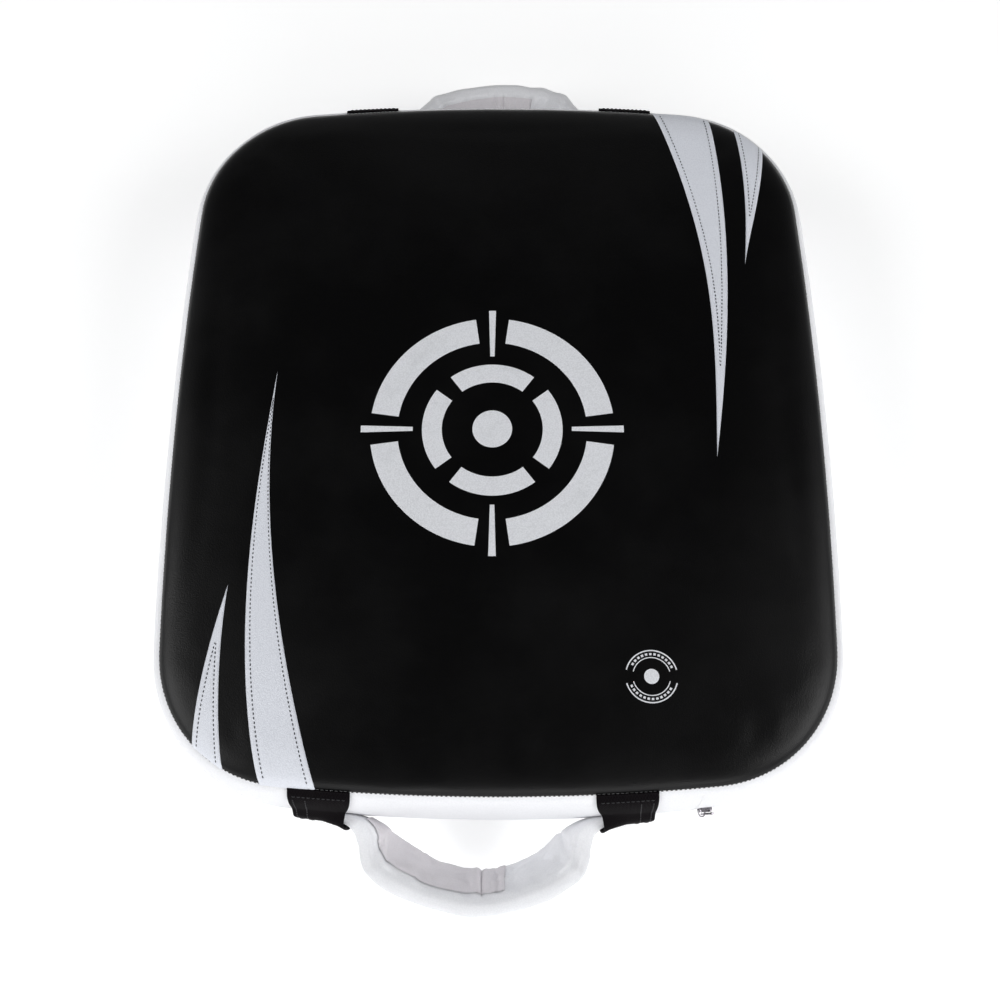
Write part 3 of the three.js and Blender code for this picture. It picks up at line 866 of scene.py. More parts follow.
def stitch_row(name, runs, material, pitch=3.1, length=2.3, radius=0.34, slot="black_webbing"):
    """Stitches along runs, each a path and the function that gives its normals."""
    template, template_faces = thread_template(length, radius)
    stitches = []
    for path, normal_at in runs:
        for here, way in zip(*even_steps(path, pitch)):
            across = np.cross(normal_at(here), way)
            across /= np.linalg.norm(across)
            turned = np.array([way, across, np.cross(way, across)])
            stitches.append((here + template @ turned, template_faces))
    make_piece(name, *joined(stitches), material, slot=slot)
    print(f"{name}: {len(stitches)} stitches")


# %% [markdown]
# The front and back panels are sewn to the wall with pale thread. The stitches
# bite into the very edge of the black leather, as a row of small light ticks.

# %% Edge seam stitches
def wall_normal(place):
    return on_wall(*place)[1]


def edge_stitches(name, cover, z):
    """Ticks right round a panel, on its edge at height z."""
    tree = surface_tree(cover)
    plan = outline(direction_at(np.linspace(0, GIRTH, 900)), -0.2)
    path = np.array([nearest_on(tree, x, y, z, 0.1)[0] for x, y in plan])
    stitch_row(name, [(path, lambda place: nearest_on(tree, *place)[1])], white_thread,
               pitch=2.8, length=1.8, radius=0.32, slot="white_synthetic_leather")


edge_stitches("front_edge_stitches", strike_face, SEAM_Z + 0.9)
edge_stitches("back_edge_stitches", back_cover, THICK - SEAM_Z - 0.9)

# %% Upright seam stitches beside the zip
def upright_run(x, end):
    heights = np.linspace(THICK - SEAM_Z + 3, SEAM_Z - 3, 60)
    direction = end_direction(x, end)
    plan = [outline(direction, float(swell(z))) for z in heights]
    return np.array([on_wall(p[0], p[1], z, 0.05)[0] for p, z in zip(plan, heights)])


upright = [(upright_run(ZIP_X - 3.2, end), wall_normal) for end in (-1, 1)]
stitch_row("upright_seam_stitches", upright, white_thread, slot="white_synthetic_leather")

# %% [markdown]
# ## Claws
#
# Four curved leather claws are laid on the face and sewn down near their
# edges, with their feet caught in the edge seam. Each edge of a claw is one
# curve from its foot to the shared tip. The leather is about a millimetre
# thick, and the thread pulls a shallow valley into it.

# %% Claw shapes
CLAW_THICK, STITCH_IN = 0.85, 4.0
claws = {
    "claw_upper_long": dict(tip=(142, -31), left=((112, 239.6), (150, 119), (147, 68)),
                            right=((152.6, 233.9), (164.5, 135), (155.5, 49))),
    "claw_upper_short": dict(tip=(170, 110), left=((170.5, 225.2), (176, 176), (173.5, 143)),
                             right=((190.6, 208), (186, 166), (175, 136.5))),
    "claw_lower_long": dict(tip=(-147, 29), left=((-143, -236.4), (-168, -137), (-153, -28)),
                            right=((-109, -240), (-134, -158), (-154, -73))),
    "claw_lower_short": dict(tip=(-169, -116), left=((-184.8, -213.8), (-182.5, -174), (-176.5, -145)),
                             right=((-165.5, -228), (-171, -187), (-172, -150))),
}


def curve_points(ends, tip, count):
    """Points on a cubic curve through its foot and tip."""
    t = np.linspace(0, 1, count)[:, None]
    a, b, c, d = [np.array(p, float) for p in (*ends, tip)]
    return (1 - t) ** 3 * a + 3 * (1 - t) ** 2 * t * b + 3 * (1 - t) * t ** 2 * c + t ** 3 * d


def claw_piece(name, shape):
    """The leather of one claw, laid on the face."""
    rows, columns = 90, 15
    left = curve_points(shape["left"], shape["tip"], rows)
    right = curve_points(shape["right"], shape["tip"], rows)
    right[-1] += (0.05, 0)
    points = []
    for a, b in zip(left, right):
        width = np.linalg.norm(b - a)
        for share in 0.5 - 0.5 * np.cos(np.linspace(0, math.pi, columns)):
            place = a + (b - a) * share
            edge = width * min(share, 1 - share)
            valley = 0.0
            if width > 2.4 * STITCH_IN:
                valley = 0.3 * math.exp(-((edge - STITCH_IN) / 0.9) ** 2)
            lift = CLAW_THICK * float(ease(edge, -0.2, 0.8)) - valley
            points.append(on_face(place[0], place[1], lift)[0])
    faces = grid_faces(rows, columns)
    piece = make_piece(name + "_leather", points, faces, claw_leather, slot="claw_leather")
    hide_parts(name)
    return left, right


# %% Claws and their stitches
def face_normal(place):
    return on_face(place[0], place[1])[1]


def claw_stitch_runs(left, right):
    """Two rows just inside the edges, as far as the claw is wide enough."""
    width = np.linalg.norm(right - left, axis=1)
    long_enough = width > 2.1 * STITCH_IN
    inward = (right - left)[long_enough] / width[long_enough, None]
    runs = []
    for edge in (left[long_enough] + inward * STITCH_IN, right[long_enough] - inward * STITCH_IN):
        path = np.array([on_face(x, y, CLAW_THICK - 0.12)[0] for x, y in edge[1:]])
        runs.append((path, face_normal))
    return runs


for name, shape in claws.items():
    edges = claw_piece(name, shape)
    stitch_row(name + "_stitches", claw_stitch_runs(*edges), black_thread,
               pitch=2.7, length=1.7, radius=0.3)

# %% [markdown]
# ## Printed marks
#
# A screen print is a film of ink a tenth of a millimetre thick. Cutting it as
# its own thin mesh keeps its edges crisp from any distance, which a painted
# mask would not. The marks are a plain strike target of rings and ticks, and a
# small ring low on the right, with no lettering.

# %% Ink and film maker
def ink(name, color):
    material, tree, shader = new_material(name, color, 0.5)
    grain = place_group(tree, grain_group, cell_size=0.85, pull=0.3, handling=0.6)
    scuffs = place_group(tree, scuff_group, amount=0.35, size=25.0)
    thin = tuple(c * 0.8 for c in color)
    pebbled = mix_color(tree, grain.outputs["Tone"], thin, color)
    rubbed = mix_color(tree, scuffs.outputs["Mask"], pebbled, tuple(c * 0.62 for c in color))
    tree.links.new(rubbed, shader.inputs["Base Color"])
    tree.links.new(calc(tree, "MULTIPLY_ADD", grain.outputs["Dull"], 0.2, 0.45), shader.inputs["Roughness"])
    bump_from(tree, shader, grain.outputs["Height"], 0.05)
    return material


white_ink = ink("white_ink", (0.84, 0.855, 0.89))
INK_LIFT = 0.12


def ring_film(centre, inner, outer, start, stop, step=1.5):
    """Points and faces of an arc band, laid on the face."""
    arc = math.radians(stop - start) * outer
    rows = max(int(arc / step), 2) + 1
    columns = max(int((outer - inner) / 3), 1) + 1
    points = []
    for turn in np.radians(np.linspace(start, stop, rows)):
        for radius in np.linspace(inner, outer, columns):
            x = centre[0] + radius * math.cos(turn)
            y = centre[1] + radius * math.sin(turn)
            points.append(on_face(x, y, INK_LIFT)[0])
    return points, grid_faces(rows, columns, flip=True)


# %% Strike target and small ring
TARGET_CENTRE, RING_CENTRE = (-4.0, -12.0), (93.3, -173.5)
films = [ring_film(TARGET_CENTRE, 62, 80, 90 * k + 8, 90 * k + 82) for k in range(4)]
films += [ring_film(TARGET_CENTRE, 33, 46, 90 * k + 53, 90 * k + 127) for k in range(4)]
films += [ring_film(TARGET_CENTRE, 52, 86, 90 * k - 1.6, 90 * k + 1.6) for k in range(4)]
films += [ring_film(TARGET_CENTRE, 0.0, 13, 0, 360)]
make_piece("strike_target_print", *joined(films), white_ink, slot="claw_leather")
small = [ring_film(RING_CENTRE, 15.4, 16.2, a, a + 150, step=0.8) for a in (15, 195)]
small += [ring_film(RING_CENTRE, 11.2, 11.8, a, a + 150, step=0.8) for a in (15, 195)]
small += [ring_film(RING_CENTRE, 0.0, 4.6, 0, 360, step=0.8)]
for first in (22, 202):
    for turn in range(first, first + 130, 11):
        small.append(ring_film(RING_CENTRE, 12.9, 14.3, turn, turn + 6.5, step=0.6))
make_piece("small_ring_print", *joined(small), white_ink, slot="claw_leather")
print(f"printed marks: {len(films) + len(small)} films of ink")

# %% [markdown]
# ## Hand loops
#
# A hand loop is a strap of webbing wrapped in two foam pads and a leather
# sleeve, about as thick as a thumb. Its line is a blunt ellipse that leaves
# the wall, and its flattened roots turn outwards along the wall, under the
# webbing patches. The loop hangs down a little, so each root also twists from
# upright to the slope of the loop. Its lower edge is pulled in more than its
# upper edge, so it is a slice of a cone, and the inner side shows from above.
# No two hang alike, so each also leans and is squeezed by its own amount.
# Rows of numbers along the line hold its
# place, its half thickness and its half width, and cutting their corners a few
# times makes them smooth.

# %% Path of a loop
LOOP_HALF, LOOP_REACH, LOOP_POWER = 79.8, 57.0, 1.75
STRAP_HALF_WIDTH, STRAP_HALF_THICK, ROOT_HALF_WIDTH = 24.0, 8.0, 15.0
ROOT_START, PINCH_END = 12.0, 28.0
CONE_X, CONE_Y = 0.085, 0.018
PIVOT_Y = HALF_H + BULGE
loops = {
    "bottom": dict(end=-1, middle=-15.0, droop=math.radians(22), squeeze=-0.1, lean=2.5),
    "top": dict(end=1, middle=0.0, droop=math.radians(30), squeeze=0.12, lean=5.0),
}
root_knots = np.array([  # x, y, half thickness, half width
    (110.0, 1.8, 1.3, 17.0),
    (95.0, 2.0, 1.6, 17.0),
    (84.0, 3.4, 2.9, 16.6),
    (76.5, 4.6, 4.6, 16.0),
    (71.0, 8.0, 6.8, 15.4),
])


def cut_corners(rows, times=2):
    for _ in range(times):
        near, far = rows[:-1] * 0.75 + rows[1:] * 0.25, rows[:-1] * 0.25 + rows[1:] * 0.75
        middle = np.stack([near, far], 1).reshape(-1, rows.shape[1])
        rows = np.concatenate([rows[:1], middle, rows[-1:]])
    return rows


def loop_line(count):
    """Evenly spaced rows (x, y, half thickness, half width) from root to root."""
    power, half, reach = 2 / LOOP_POWER, LOOP_HALF - STRAP_HALF_THICK, LOOP_REACH - STRAP_HALF_THICK
    start = math.asin((ROOT_START / reach) ** (1 / power))
    t = np.linspace(start, math.pi - start, 40)
    x = half * np.sign(np.cos(t)) * abs(np.cos(t)) ** power
    y = reach * np.sin(t) ** power
    width = ROOT_HALF_WIDTH + (STRAP_HALF_WIDTH - ROOT_HALF_WIDTH) * ease(y, ROOT_START, PINCH_END)
    bow = np.column_stack([x, y, np.full(len(t), STRAP_HALF_THICK), width])
    rows = cut_corners(np.concatenate([root_knots, bow, (root_knots * (-1, 1, 1, 1))[::-1]]))[::-1]
    run = np.append(0, np.cumsum(np.hypot(*np.diff(rows[:, :2], axis=0).T)))
    at = np.linspace(0, run[-1], count)
    return np.column_stack([np.interp(at, run, rows[:, k]) for k in range(4)]), run[-1]


def loop_point(loop, place, across, y):
    """World millimetres of a place in the plane of a loop, where its line is y out."""
    turn = loop["droop"] * float(ease(y, 2, 24))
    narrow = (1 - across / STRAP_HALF_WIDTH) * float(ease(y, 4, 16))
    far_x, far_y = place[0] * (1 - CONE_X * narrow), place[1] * (1 - CONE_Y * narrow)
    far_x = far_x * (1 - loop["squeeze"] * float(ease(y, 6, 26))) + loop["lean"] * float(ease(y, 10, 50))
    out = far_y * math.cos(turn) + across * math.sin(turn)
    height = MID_Z - far_y * math.sin(turn) + across * math.cos(turn)
    near = 1 - float(ease(y, 5, 30))
    world_x = loop["middle"] + far_x
    fall = world_x ** 2 / (2 * END_R) + BULGE * (1 - math.sqrt(1 - min(across / WALL_HALF, 1) ** 2))
    return world_x, loop["end"] * (PIVOT_Y + out - near * fall), height


# %% [markdown]
# The section of the sleeve is a crowned rectangle. Two seams run along its
# inner side, where the leather meets itself, and stay drawn in. The same cloth
# solver stuffs it. The skin is given a few percent more leather than its shape
# needs, which buckles into the small cross folds of a wrapped handle.

# %% Sleeves
AROUND, ROWS = 72, 168
WIDE_POWER, THICK_POWER = 0.62, 0.72  # 1 is an ellipse, and less is squarer
SEAM_SHARE, SEAM_DEPTH = 0.87, 1.1


def section_angles():
    """Angles that space points evenly round the section."""
    a = np.linspace(0, 2 * math.pi, 1201)
    ring = np.stack([section_xy(t, STRAP_HALF_WIDTH, STRAP_HALF_THICK) for t in a])
    run = np.append(0, np.cumsum(np.hypot(*np.diff(ring, axis=0).T)))
    return np.interp(np.linspace(0, run[-1], AROUND, endpoint=False), run, a)


def section_xy(angle, half_width, half_thick):
    """(across, out) of a point on the crowned section."""
    c, s = math.cos(angle), math.sin(angle)
    across = math.copysign(abs(c) ** WIDE_POWER, c) * half_width
    return np.array([across, math.copysign(abs(s) ** THICK_POWER, s) * half_thick])


def tube_normals(grid):
    """Outward unit normals of a (rows, around, 3) tube."""
    around = np.roll(grid, -1, axis=1) - np.roll(grid, 1, axis=1)
    normal = np.cross(np.gradient(grid, axis=0), around)
    if np.sum((grid - grid.mean(axis=1, keepdims=True)) * normal) < 0:
        normal = -normal
    return normal / np.maximum(np.linalg.norm(normal, axis=2, keepdims=True), 1e-9)


angles = section_angles()
width_shares = np.array([section_xy(angle, 1, 1)[0] for angle in angles])
seam_turn = math.acos(SEAM_SHARE ** (1 / WIDE_POWER))
seam_columns = [int(np.argmin(abs(angles - a))) for a in (2 * math.pi - seam_turn, math.pi + seam_turn)]
line, line_length = loop_line(ROWS)
way = np.gradient(line[:, :2], axis=0)
way /= np.linalg.norm(way, axis=1)[:, None]
out_of_line = np.stack([-way[:, 1], way[:, 0]], -1)
if out_of_line[ROWS // 2, 1] < 0:
    out_of_line = -out_of_line
print(f"loop line {line_length:.0f} mm long, seams at columns {seam_columns}")


# %% Shape of a sleeve
def sleeve_grid(loop):
    """The points of a whole sleeve, before it is stuffed."""
    grid = np.zeros((ROWS, AROUND, 3))
    for r, (x, y, half_thick, half_width) in enumerate(line):
        for k, angle in enumerate(angles):
            across, out = section_xy(angle, half_width, half_thick)
            grid[r, k] = loop_point(loop, (x, y) + out_of_line[r] * out, across, y)
    return grid


def fold_sleeve(grid, creases, seed):
    """Draws the seams in, and presses creases into the inner side."""
    flat = ease(-np.sin(angles), 0.15, 0.6) * (1 - ease(abs(width_shares), 0.66, 0.88))
    x = line[:, 0]
    push = np.zeros((ROWS, AROUND))
    for place, depth, width in creases:
        fold = -depth * np.exp(-((x - place) / width) ** 2)
        for puff_at in (place - 3.2 * width, place + 3.2 * width):
            fold += 0.45 * depth * np.exp(-((x - puff_at) / (2 * width)) ** 2)
        push += fold[:, None] * flat
    noise = np.random.default_rng(seed)
    steps = np.linspace(0, line_length, ROWS)
    for _ in range(7):
        length, phase, lean = noise.uniform(16, 55), noise.uniform(0, 6.28), noise.uniform(-2, 2)
        wave = np.sin(2 * math.pi * steps[:, None] / length + phase + lean * np.sin(angles)[None])
        push += 0.13 * wave * ease(line[:, 1], 10, 26)[:, None]
    middle_seams = ease(line[:, 1], 4, 16)
    for column in seam_columns:
        for step, share in ((0, 1.0), (1, 0.35), (-1, 0.35)):
            push[:, (column + step) % AROUND] -= SEAM_DEPTH * share * middle_seams
    return grid + tube_normals(grid) * push[:, :, None]


# %% [markdown]
# The two sleeves are made in the same way, each with creases of its own. Its
# ends, its seams and the flat roots are held while the rest is stuffed. Then
# the seams are drawn in and the creases pressed, and one level of subdivision
# rounds what is left of the grid.

# %% Make both sleeves
creases = {  # place along the loop, depth and width of each crease
    "bottom": ((2.0, 1.9, 1.3), (7.5, 0.7, 1.8), (13.5, 0.8, 1.6), (-9.0, 0.35, 3.0)),
    "top": ((-9.0, 1.0, 1.5), (-1.5, 1.2, 1.4), (26.5, 1.2, 1.5), (12.0, 0.4, 3.0)),
}
sleeves = {}
for number, (name, loop) in enumerate(loops.items()):
    grid = sleeve_grid(loop)
    faces = grid_faces(ROWS, AROUND, wrap_columns=True)
    held = np.zeros((ROWS, AROUND), bool)
    held[:14], held[-14:] = True, True
    held[:, seam_columns] = True
    held[line[:, 1] < 10] = True
    pins = np.flatnonzero(held.ravel())
    puffed = stuffed(grid.reshape(-1, 3), faces, pins, 1.1, pressure=3.0, slack=0.022)
    grid = fold_sleeve(puffed.reshape(ROWS, AROUND, 3), creases[name], 11 + number)
    sleeve = make_piece(name + "_handle_sleeve_leather", grid.reshape(-1, 3), faces, shaded_sleeve_leather,
                        body=None, slot="white_synthetic_leather")
    tidy_mesh(sleeve)
    subdivide(sleeve)
    bend_with(sleeve)
    parts = ("sleeve", "webbing", "outer_foam", "inner_foam")
    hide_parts(*[f"{name}_handle_{part}" for part in parts])
    sleeves[name] = grid
print("sleeves:", ", ".join(f"{n} {g.shape[0]} x {g.shape[1]}" for n, g in sleeves.items()))

# %% [markdown]
# A softer leather lines the inner side of each loop, where the fingers close.
# Its darker, pinkish grey is painted shade, for the shade inside the loop. It
# is cut from the sleeve's own inner side, lifted by its thickness, and ends in
# a slanted seam a little past the middle.

# %% Grip liners
LINER_SHARE, LINER_THICK = 0.76, 0.75


def liner_piece(name, end_x, slant):
    """The lining of one loop, from its left root to a slanted seam at end_x."""
    grid = sleeves[name]
    facing = tube_normals(grid)
    columns = np.flatnonzero((np.sin(angles) < -0.2) & (abs(width_shares) <= LINER_SHARE))
    columns = columns[np.argsort(width_shares[columns])]
    x = line[:, 0]
    order = np.argsort(x)
    near = np.flatnonzero(line[:, 1] > 7)
    first = x[near].min()
    rows = 150
    points = []
    for r in range(rows):
        for k in columns:
            stop = end_x + slant * width_shares[k]
            at = first + (stop - first) * r / (rows - 1)
            here = [np.interp(at, x[order], grid[order, k, axis]) for axis in range(3)]
            normal = np.array([np.interp(at, x[order], facing[order, k, axis]) for axis in range(3)])
            edge = (LINER_SHARE - abs(width_shares[k])) * STRAP_HALF_WIDTH
            lift = LINER_THICK * float(ease(edge, -0.6, 1.6) * ease(stop - at, -0.2, 1.2)) + 0.1
            points.append(np.array(here) + normal * lift)
    faces = grid_faces(rows, len(columns))
    piece = make_piece(name + "_grip_liner_leather_shaded", points, faces, liner_leather,
                       body=None, slot="liner_leather")
    bend_with(piece)
    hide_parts(name + "_handle_grip_liner")
    print(f"{piece.name}: {rows} x {len(columns)} points")


liner_piece("bottom", 19.0, -2.5)
liner_piece("top", 26.0, 2.0)

# %% [markdown]
# ## Webbing patches
#
# A patch of black webbing holds each root down. It runs from seam to seam
# across the wall and folds in over both seams. It bulges where the strap goes
# in under its inner edge.

# %% Patches
PATCH_NEAR, PATCH_FAR, PATCH_SPREAD = 80.0, 111.0, 6.5
PATCH_THICK = 1.1
LIP = 1.2  # how far a patch folds in over each seam
strap_x, strap_thick = root_knots[::-1, 0], root_knots[::-1, 2] * 2


def patch_surface(loop, side, share, z, extra=0.0):
    """A place on the patch, a share of the way out from its inner edge, at height z."""
    over = max(abs(z - MID_Z) - WALL_HALF, 0.0) * math.copysign(1.0, z - MID_Z)
    z -= over
    near = PATCH_NEAR - PATCH_SPREAD * float(ease(abs(z - MID_Z), 12, WALL_HALF))
    x = near + (PATCH_FAR - near) * share
    plan = outline(end_direction(loop["middle"] + side * x, loop["end"]), float(swell(z)) + 0.3)
    under, normal = on_wall(plan[0], plan[1], z)
    strap = (np.interp(x, strap_x, strap_thick) + 0.7) * float(1 - ease(abs(z - MID_Z), 14.5, 27))
    sunk = 0.4 * float(ease(abs(z - MID_Z), WALL_HALF - 3, WALL_HALF))
    place = under + normal * (0.5 + strap - sunk + extra)
    return place + np.array([0, -0.8 * loop["end"] * abs(over), over]), normal


def patch_piece(name, loop, side, side_name):
    shares = np.linspace(0, 1, 26)
    heights = MID_Z + (WALL_HALF + LIP) * np.sin(np.linspace(math.pi / 2, -math.pi / 2, 72))
    points = [patch_surface(loop, side, share, z)[0] for z in heights for share in shares]
    cut = [(PATCH_NEAR + (PATCH_FAR - PATCH_NEAR) * share, z) for z in heights for share in shares]
    faces = grid_faces(len(heights), len(shares), flip=side * loop["end"] < 0)
    piece = make_piece(f"{name}_{side_name}_patch_webbing", points, faces, black_webbing,
                       slot="black_webbing", uv=cut)
    shell = piece.modifiers.new("thickness", "SOLIDIFY")
    shell.thickness, shell.offset = PATCH_THICK * MM, 1.0
    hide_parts(f"{name}_handle_{side_name}_patch", f"{name}_handle_{side_name}_root_tab")
    runs = []
    for z in (SEAM_Z - 2.5, THICK - SEAM_Z + 2.5):
        runs.append([(share, z) for share in np.linspace(0.06, 0.94, 24)])
    for share in (0.92, 0.72):
        runs.append([(share, z) for z in np.linspace(SEAM_Z - 5, THICK - SEAM_Z + 5, 60)])
    lift = PATCH_THICK + 0.05
    paths = [[patch_surface(loop, side, share, z, lift)[0] for share, z in run] for run in runs]
    stitch_row(f"{name}_{side_name}_patch_stitches", [(path, wall_normal) for path in paths],
               black_thread, pitch=2.9, length=2.2, radius=0.36)


for name, loop in loops.items():
    for side, side_name in ((-1, "left"), (1, "right")):
        patch_piece(name, loop, side, side_name)
print("patches on both ends")

# %% [markdown]
# ## The zip
#
# A long zip in the wall lets the foam be put in. Its two tapes lie just inside
# the slot. Its teeth are a nylon coil: short rounded bars that reach across
# the middle from each tape in turn.

# %% Tapes and teeth
zip_from, zip_to = length_at(zip_start), length_at(zip_stop)
if zip_to < zip_from:
    zip_to += GIRTH
TAPE_DEEP, TEETH_DEEP, TOOTH_PITCH = 2.6, 1.7, 1.7


def zip_place(length, z, depth):
    """A point in millimetres behind the swollen wall, and the way outwards there."""
    direction = direction_at(length)
    plan = outline(direction, float(swell(z)) - depth)
    return np.array([plan[0], plan[1], z]), np.append(normal_of(direction), 0)


def tape_piece(side_name, sign):
    run = np.arange(zip_from + 1, zip_to - 1, 2.5)
    across = np.linspace(0.8, 15.0, 12)
    points = [zip_place(s, MID_Z + sign * a, TAPE_DEEP)[0] for s in run for a in across]
    cut = [(a, s - zip_from) for s in run for a in across]
    faces = grid_faces(len(run), len(across), flip=sign < 0)
    piece = make_piece(f"zip_{side_name}_woven_tape", points, faces, zip_tape_cloth, slot="zip_tape", uv=cut)
    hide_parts(f"zip_{side_name}_tape")


def teeth_piece(side_name, sign, first):
    template, template_faces = thread_template(4.0, 0.62, sides=7)
    teeth = []
    for s in np.arange(zip_from + 2 + first, zip_to - 4, TOOTH_PITCH):
        here, out = zip_place(s, MID_Z + sign * 1.15, TEETH_DEEP)
        along = np.array([-out[1], out[0], 0])
        reach = np.array([0, 0, 1.0]) + along * 0.12 * sign
        reach /= np.linalg.norm(reach)
        turned = np.array([reach, np.cross(out, reach), out])
        teeth.append((here + template @ turned, template_faces))
    piece = make_piece(f"zip_{side_name}_teeth", *joined(teeth), zip_nylon, slot="zip_coil")
    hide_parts(f"zip_{side_name}_coil")
    print(f"zip {side_name} side: {len(teeth)} teeth")


for side_name, sign, first in (("front", 1, 0.0), ("rear", -1, TOOTH_PITCH / 2)):
    tape_piece(side_name, sign)
    teeth_piece(side_name, sign, first)

# %% [markdown]
# The slider is die cast: two plates with turned-in lips, joined by a post,
# with an arch on top for the pull. Plates are outlines given a thickness, and
# a small bevel takes off the sharp edges, as tumbling does to the real one.

# %% Cast parts
SLIDER_TURN, SLIDER_RADIUS = math.radians(-86.3 + 90), CORNER_R + BULGE


def at_slider(points):
    """Moves points from the slider's frame to the corner of the wall."""
    c, s = math.cos(SLIDER_TURN), math.sin(SLIDER_TURN)
    x, y, z = np.asarray(points, float).T
    y = y - SLIDER_RADIUS
    return np.column_stack([corner_x + x * c - y * s, -corner_y + x * s + y * c, z + MID_Z])


def blunt_box(centre, half, power, count=36):
    """A closed outline between an ellipse (power 2) and a rectangle."""
    turn = 2 * math.pi * np.arange(count) / count
    c, s = np.cos(turn), np.sin(turn)
    x = centre[0] + half[0] * np.sign(c) * abs(c) ** (2 / power)
    z = centre[1] + half[1] * np.sign(s) * abs(s) ** (2 / power)
    return np.column_stack([x, z])


def plate(ring, y0, y1, hole=None):
    """Points and faces of an outline in x, z given a thickness along y."""
    n = len(ring)
    layers = [np.column_stack([ring[:, 0], np.full(n, y), ring[:, 1]]) for y in (y0, y1)]
    walls = [(k, (k + 1) % n, n + (k + 1) % n, n + k) for k in range(n)]
    if hole is None:
        return np.concatenate(layers), walls + [tuple(range(n))[::-1], tuple(range(n, 2 * n))]
    layers += [np.column_stack([hole[:, 0], np.full(n, y), hole[:, 1]]) for y in (y0, y1)]
    for k in range(n):
        j = (k + 1) % n
        walls.append((k, 2 * n + k, 2 * n + j, j))
        walls.append((n + j, 3 * n + j, 3 * n + k, n + k))
        walls.append((2 * n + k, 3 * n + k, 3 * n + j, 2 * n + j))
    return np.concatenate(layers), walls


def bar(path, half_wide, half_thick, sides=12):
    """A bar of oval section along a path of (x, y) points, wide in z."""
    path = np.asarray(path, float)
    along = np.gradient(path, axis=0)
    along /= np.linalg.norm(along, axis=1)[:, None]
    points = []
    for (x, y), (dx, dy) in zip(path, along):
        for k in range(sides):
            turn = 2 * math.pi * k / sides
            t, w = math.sin(turn) * half_thick, math.cos(turn) * half_wide
            points.append((x - dy * t, y + dx * t, w))
    return np.array(points), capped(grid_faces(len(path), sides, wrap_columns=True), len(path), sides)


def cast_piece(name, solids, body, replaced):
    points, faces = joined(solids)
    piece = make_piece(name, at_slider(points), faces, zip_metal, body=body, slot="zip_metal")
    tidy_mesh(piece)
    piece.data.set_sharp_from_angle(angle=math.radians(40))
    soften = piece.modifiers.new("tumbled", "BEVEL")
    soften.width, soften.segments, soften.limit_method = 0.22 * MM, 2, "ANGLE"
    soften.angle_limit = math.radians(40)
    soften.harden_normals = True
    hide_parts(replaced)
    print(f"{name}: {len(faces)} faces on {body}")


# %% Slider and pull
tapered = blunt_box((0, 0), (4.5, 5.6), 4.5)
tapered[:, 1] *= 0.9 + 0.1 * tapered[:, 0] / 4.5
lips = [plate(blunt_box((0.2, sign * 5.15), (4.0, 0.45), 5), -1.2, 0.7) for sign in (-1, 1)]
arch_turn = np.linspace(math.pi, 0, 16)
arch = np.column_stack([-2.0 + 2.0 * np.cos(arch_turn), -2.2 - 2.8 * np.sin(arch_turn) ** 0.7])
slider_solids = [
    plate(tapered, -2.4, -1.0), plate(tapered, 3.9, 5.1), *lips,
    plate(blunt_box((-1.0, 0), (2.4, 0.42), 3), -1.3, 4.1), bar(arch, 0.85, 0.42),
]
cast_piece("zip_cast_slider", slider_solids, "slider", "zip_slider")
tab_ring = blunt_box((1.6, 0), (4.2, 3.2), 4.5)
tab_ring[:, 1] *= 1 - 0.08 * (tab_ring[:, 0] - 1.6) / 4.2
tab = plate(tab_ring, -4.1, -2.9, blunt_box((0.2, 0), (1.6, 1.5), 4.5))
raised = [plate(blunt_box((4.2, sign * 1.0), (0.8, 0.42), 4), -4.3, -2.7) for sign in (-1, 1)]
cast_piece("zip_cast_pull", [tab, *raised], "pull_tab", "zip_pull_tab")

# %% [markdown]
# At the far end of the zip a small clamped bar stops the slider.

# %% End stop
stop_points = []
stop_length = zip_to - 5.5
for y_shift in (1.9, -0.9):
    for a, z in blunt_box((0, 0), (2.0, 4.4), 5, 20):
        stop_points.append(zip_place(stop_length + a, MID_Z + z, y_shift)[0])
stop_faces = capped(grid_faces(2, 20, wrap_columns=True), 2, 20)
end_stop = make_piece("zip_crimped_stop", stop_points, stop_faces, zip_metal, slot="zip_metal")
tidy_mesh(end_stop)
stop_bevel = end_stop.modifiers.new("rounded", "BEVEL")
stop_bevel.width, stop_bevel.segments, stop_bevel.limit_method = 0.5 * MM, 3, "ANGLE"
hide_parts("zip_end_stop")
print(f"end stop {stop_length - zip_from:.0f} mm along the zip")

# %% [markdown]
# ## Foam inside
#
# Four sheets of foam fill the cover: a dense sheet that takes the kick, two
# soft sheets for the core, and a firmer one behind. Nobody sees them unless
# the zip is opened, but they are what the cover is stretched over. Each is a
# stack of outlines, with edges pared round so that no corner shows.

# %% Foam sheets
def foam_sheet(name, steps, material, slot):
    """steps are (inset, height) pairs from one side of the sheet to the other."""
    directions = station_dir[::2]
    n = len(directions)
    rings = [np.column_stack([outline(directions, -inset), np.full(n, z)]) for inset, z in steps]
    faces = capped(grid_faces(len(rings), n, wrap_columns=True), len(rings), n)
    piece = make_piece(name + "_sheet", np.concatenate(rings), faces, material, slot=slot)
    tidy_mesh(piece)
    piece.data.set_sharp_from_angle(angle=math.radians(50))
    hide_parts(name)
    print(f"{piece.name}: from {rings[0][0][2]:.1f} to {rings[-1][0][2]:.1f} mm high")


def mirrored(steps):
    return [(inset, THICK - z) for inset, z in steps]


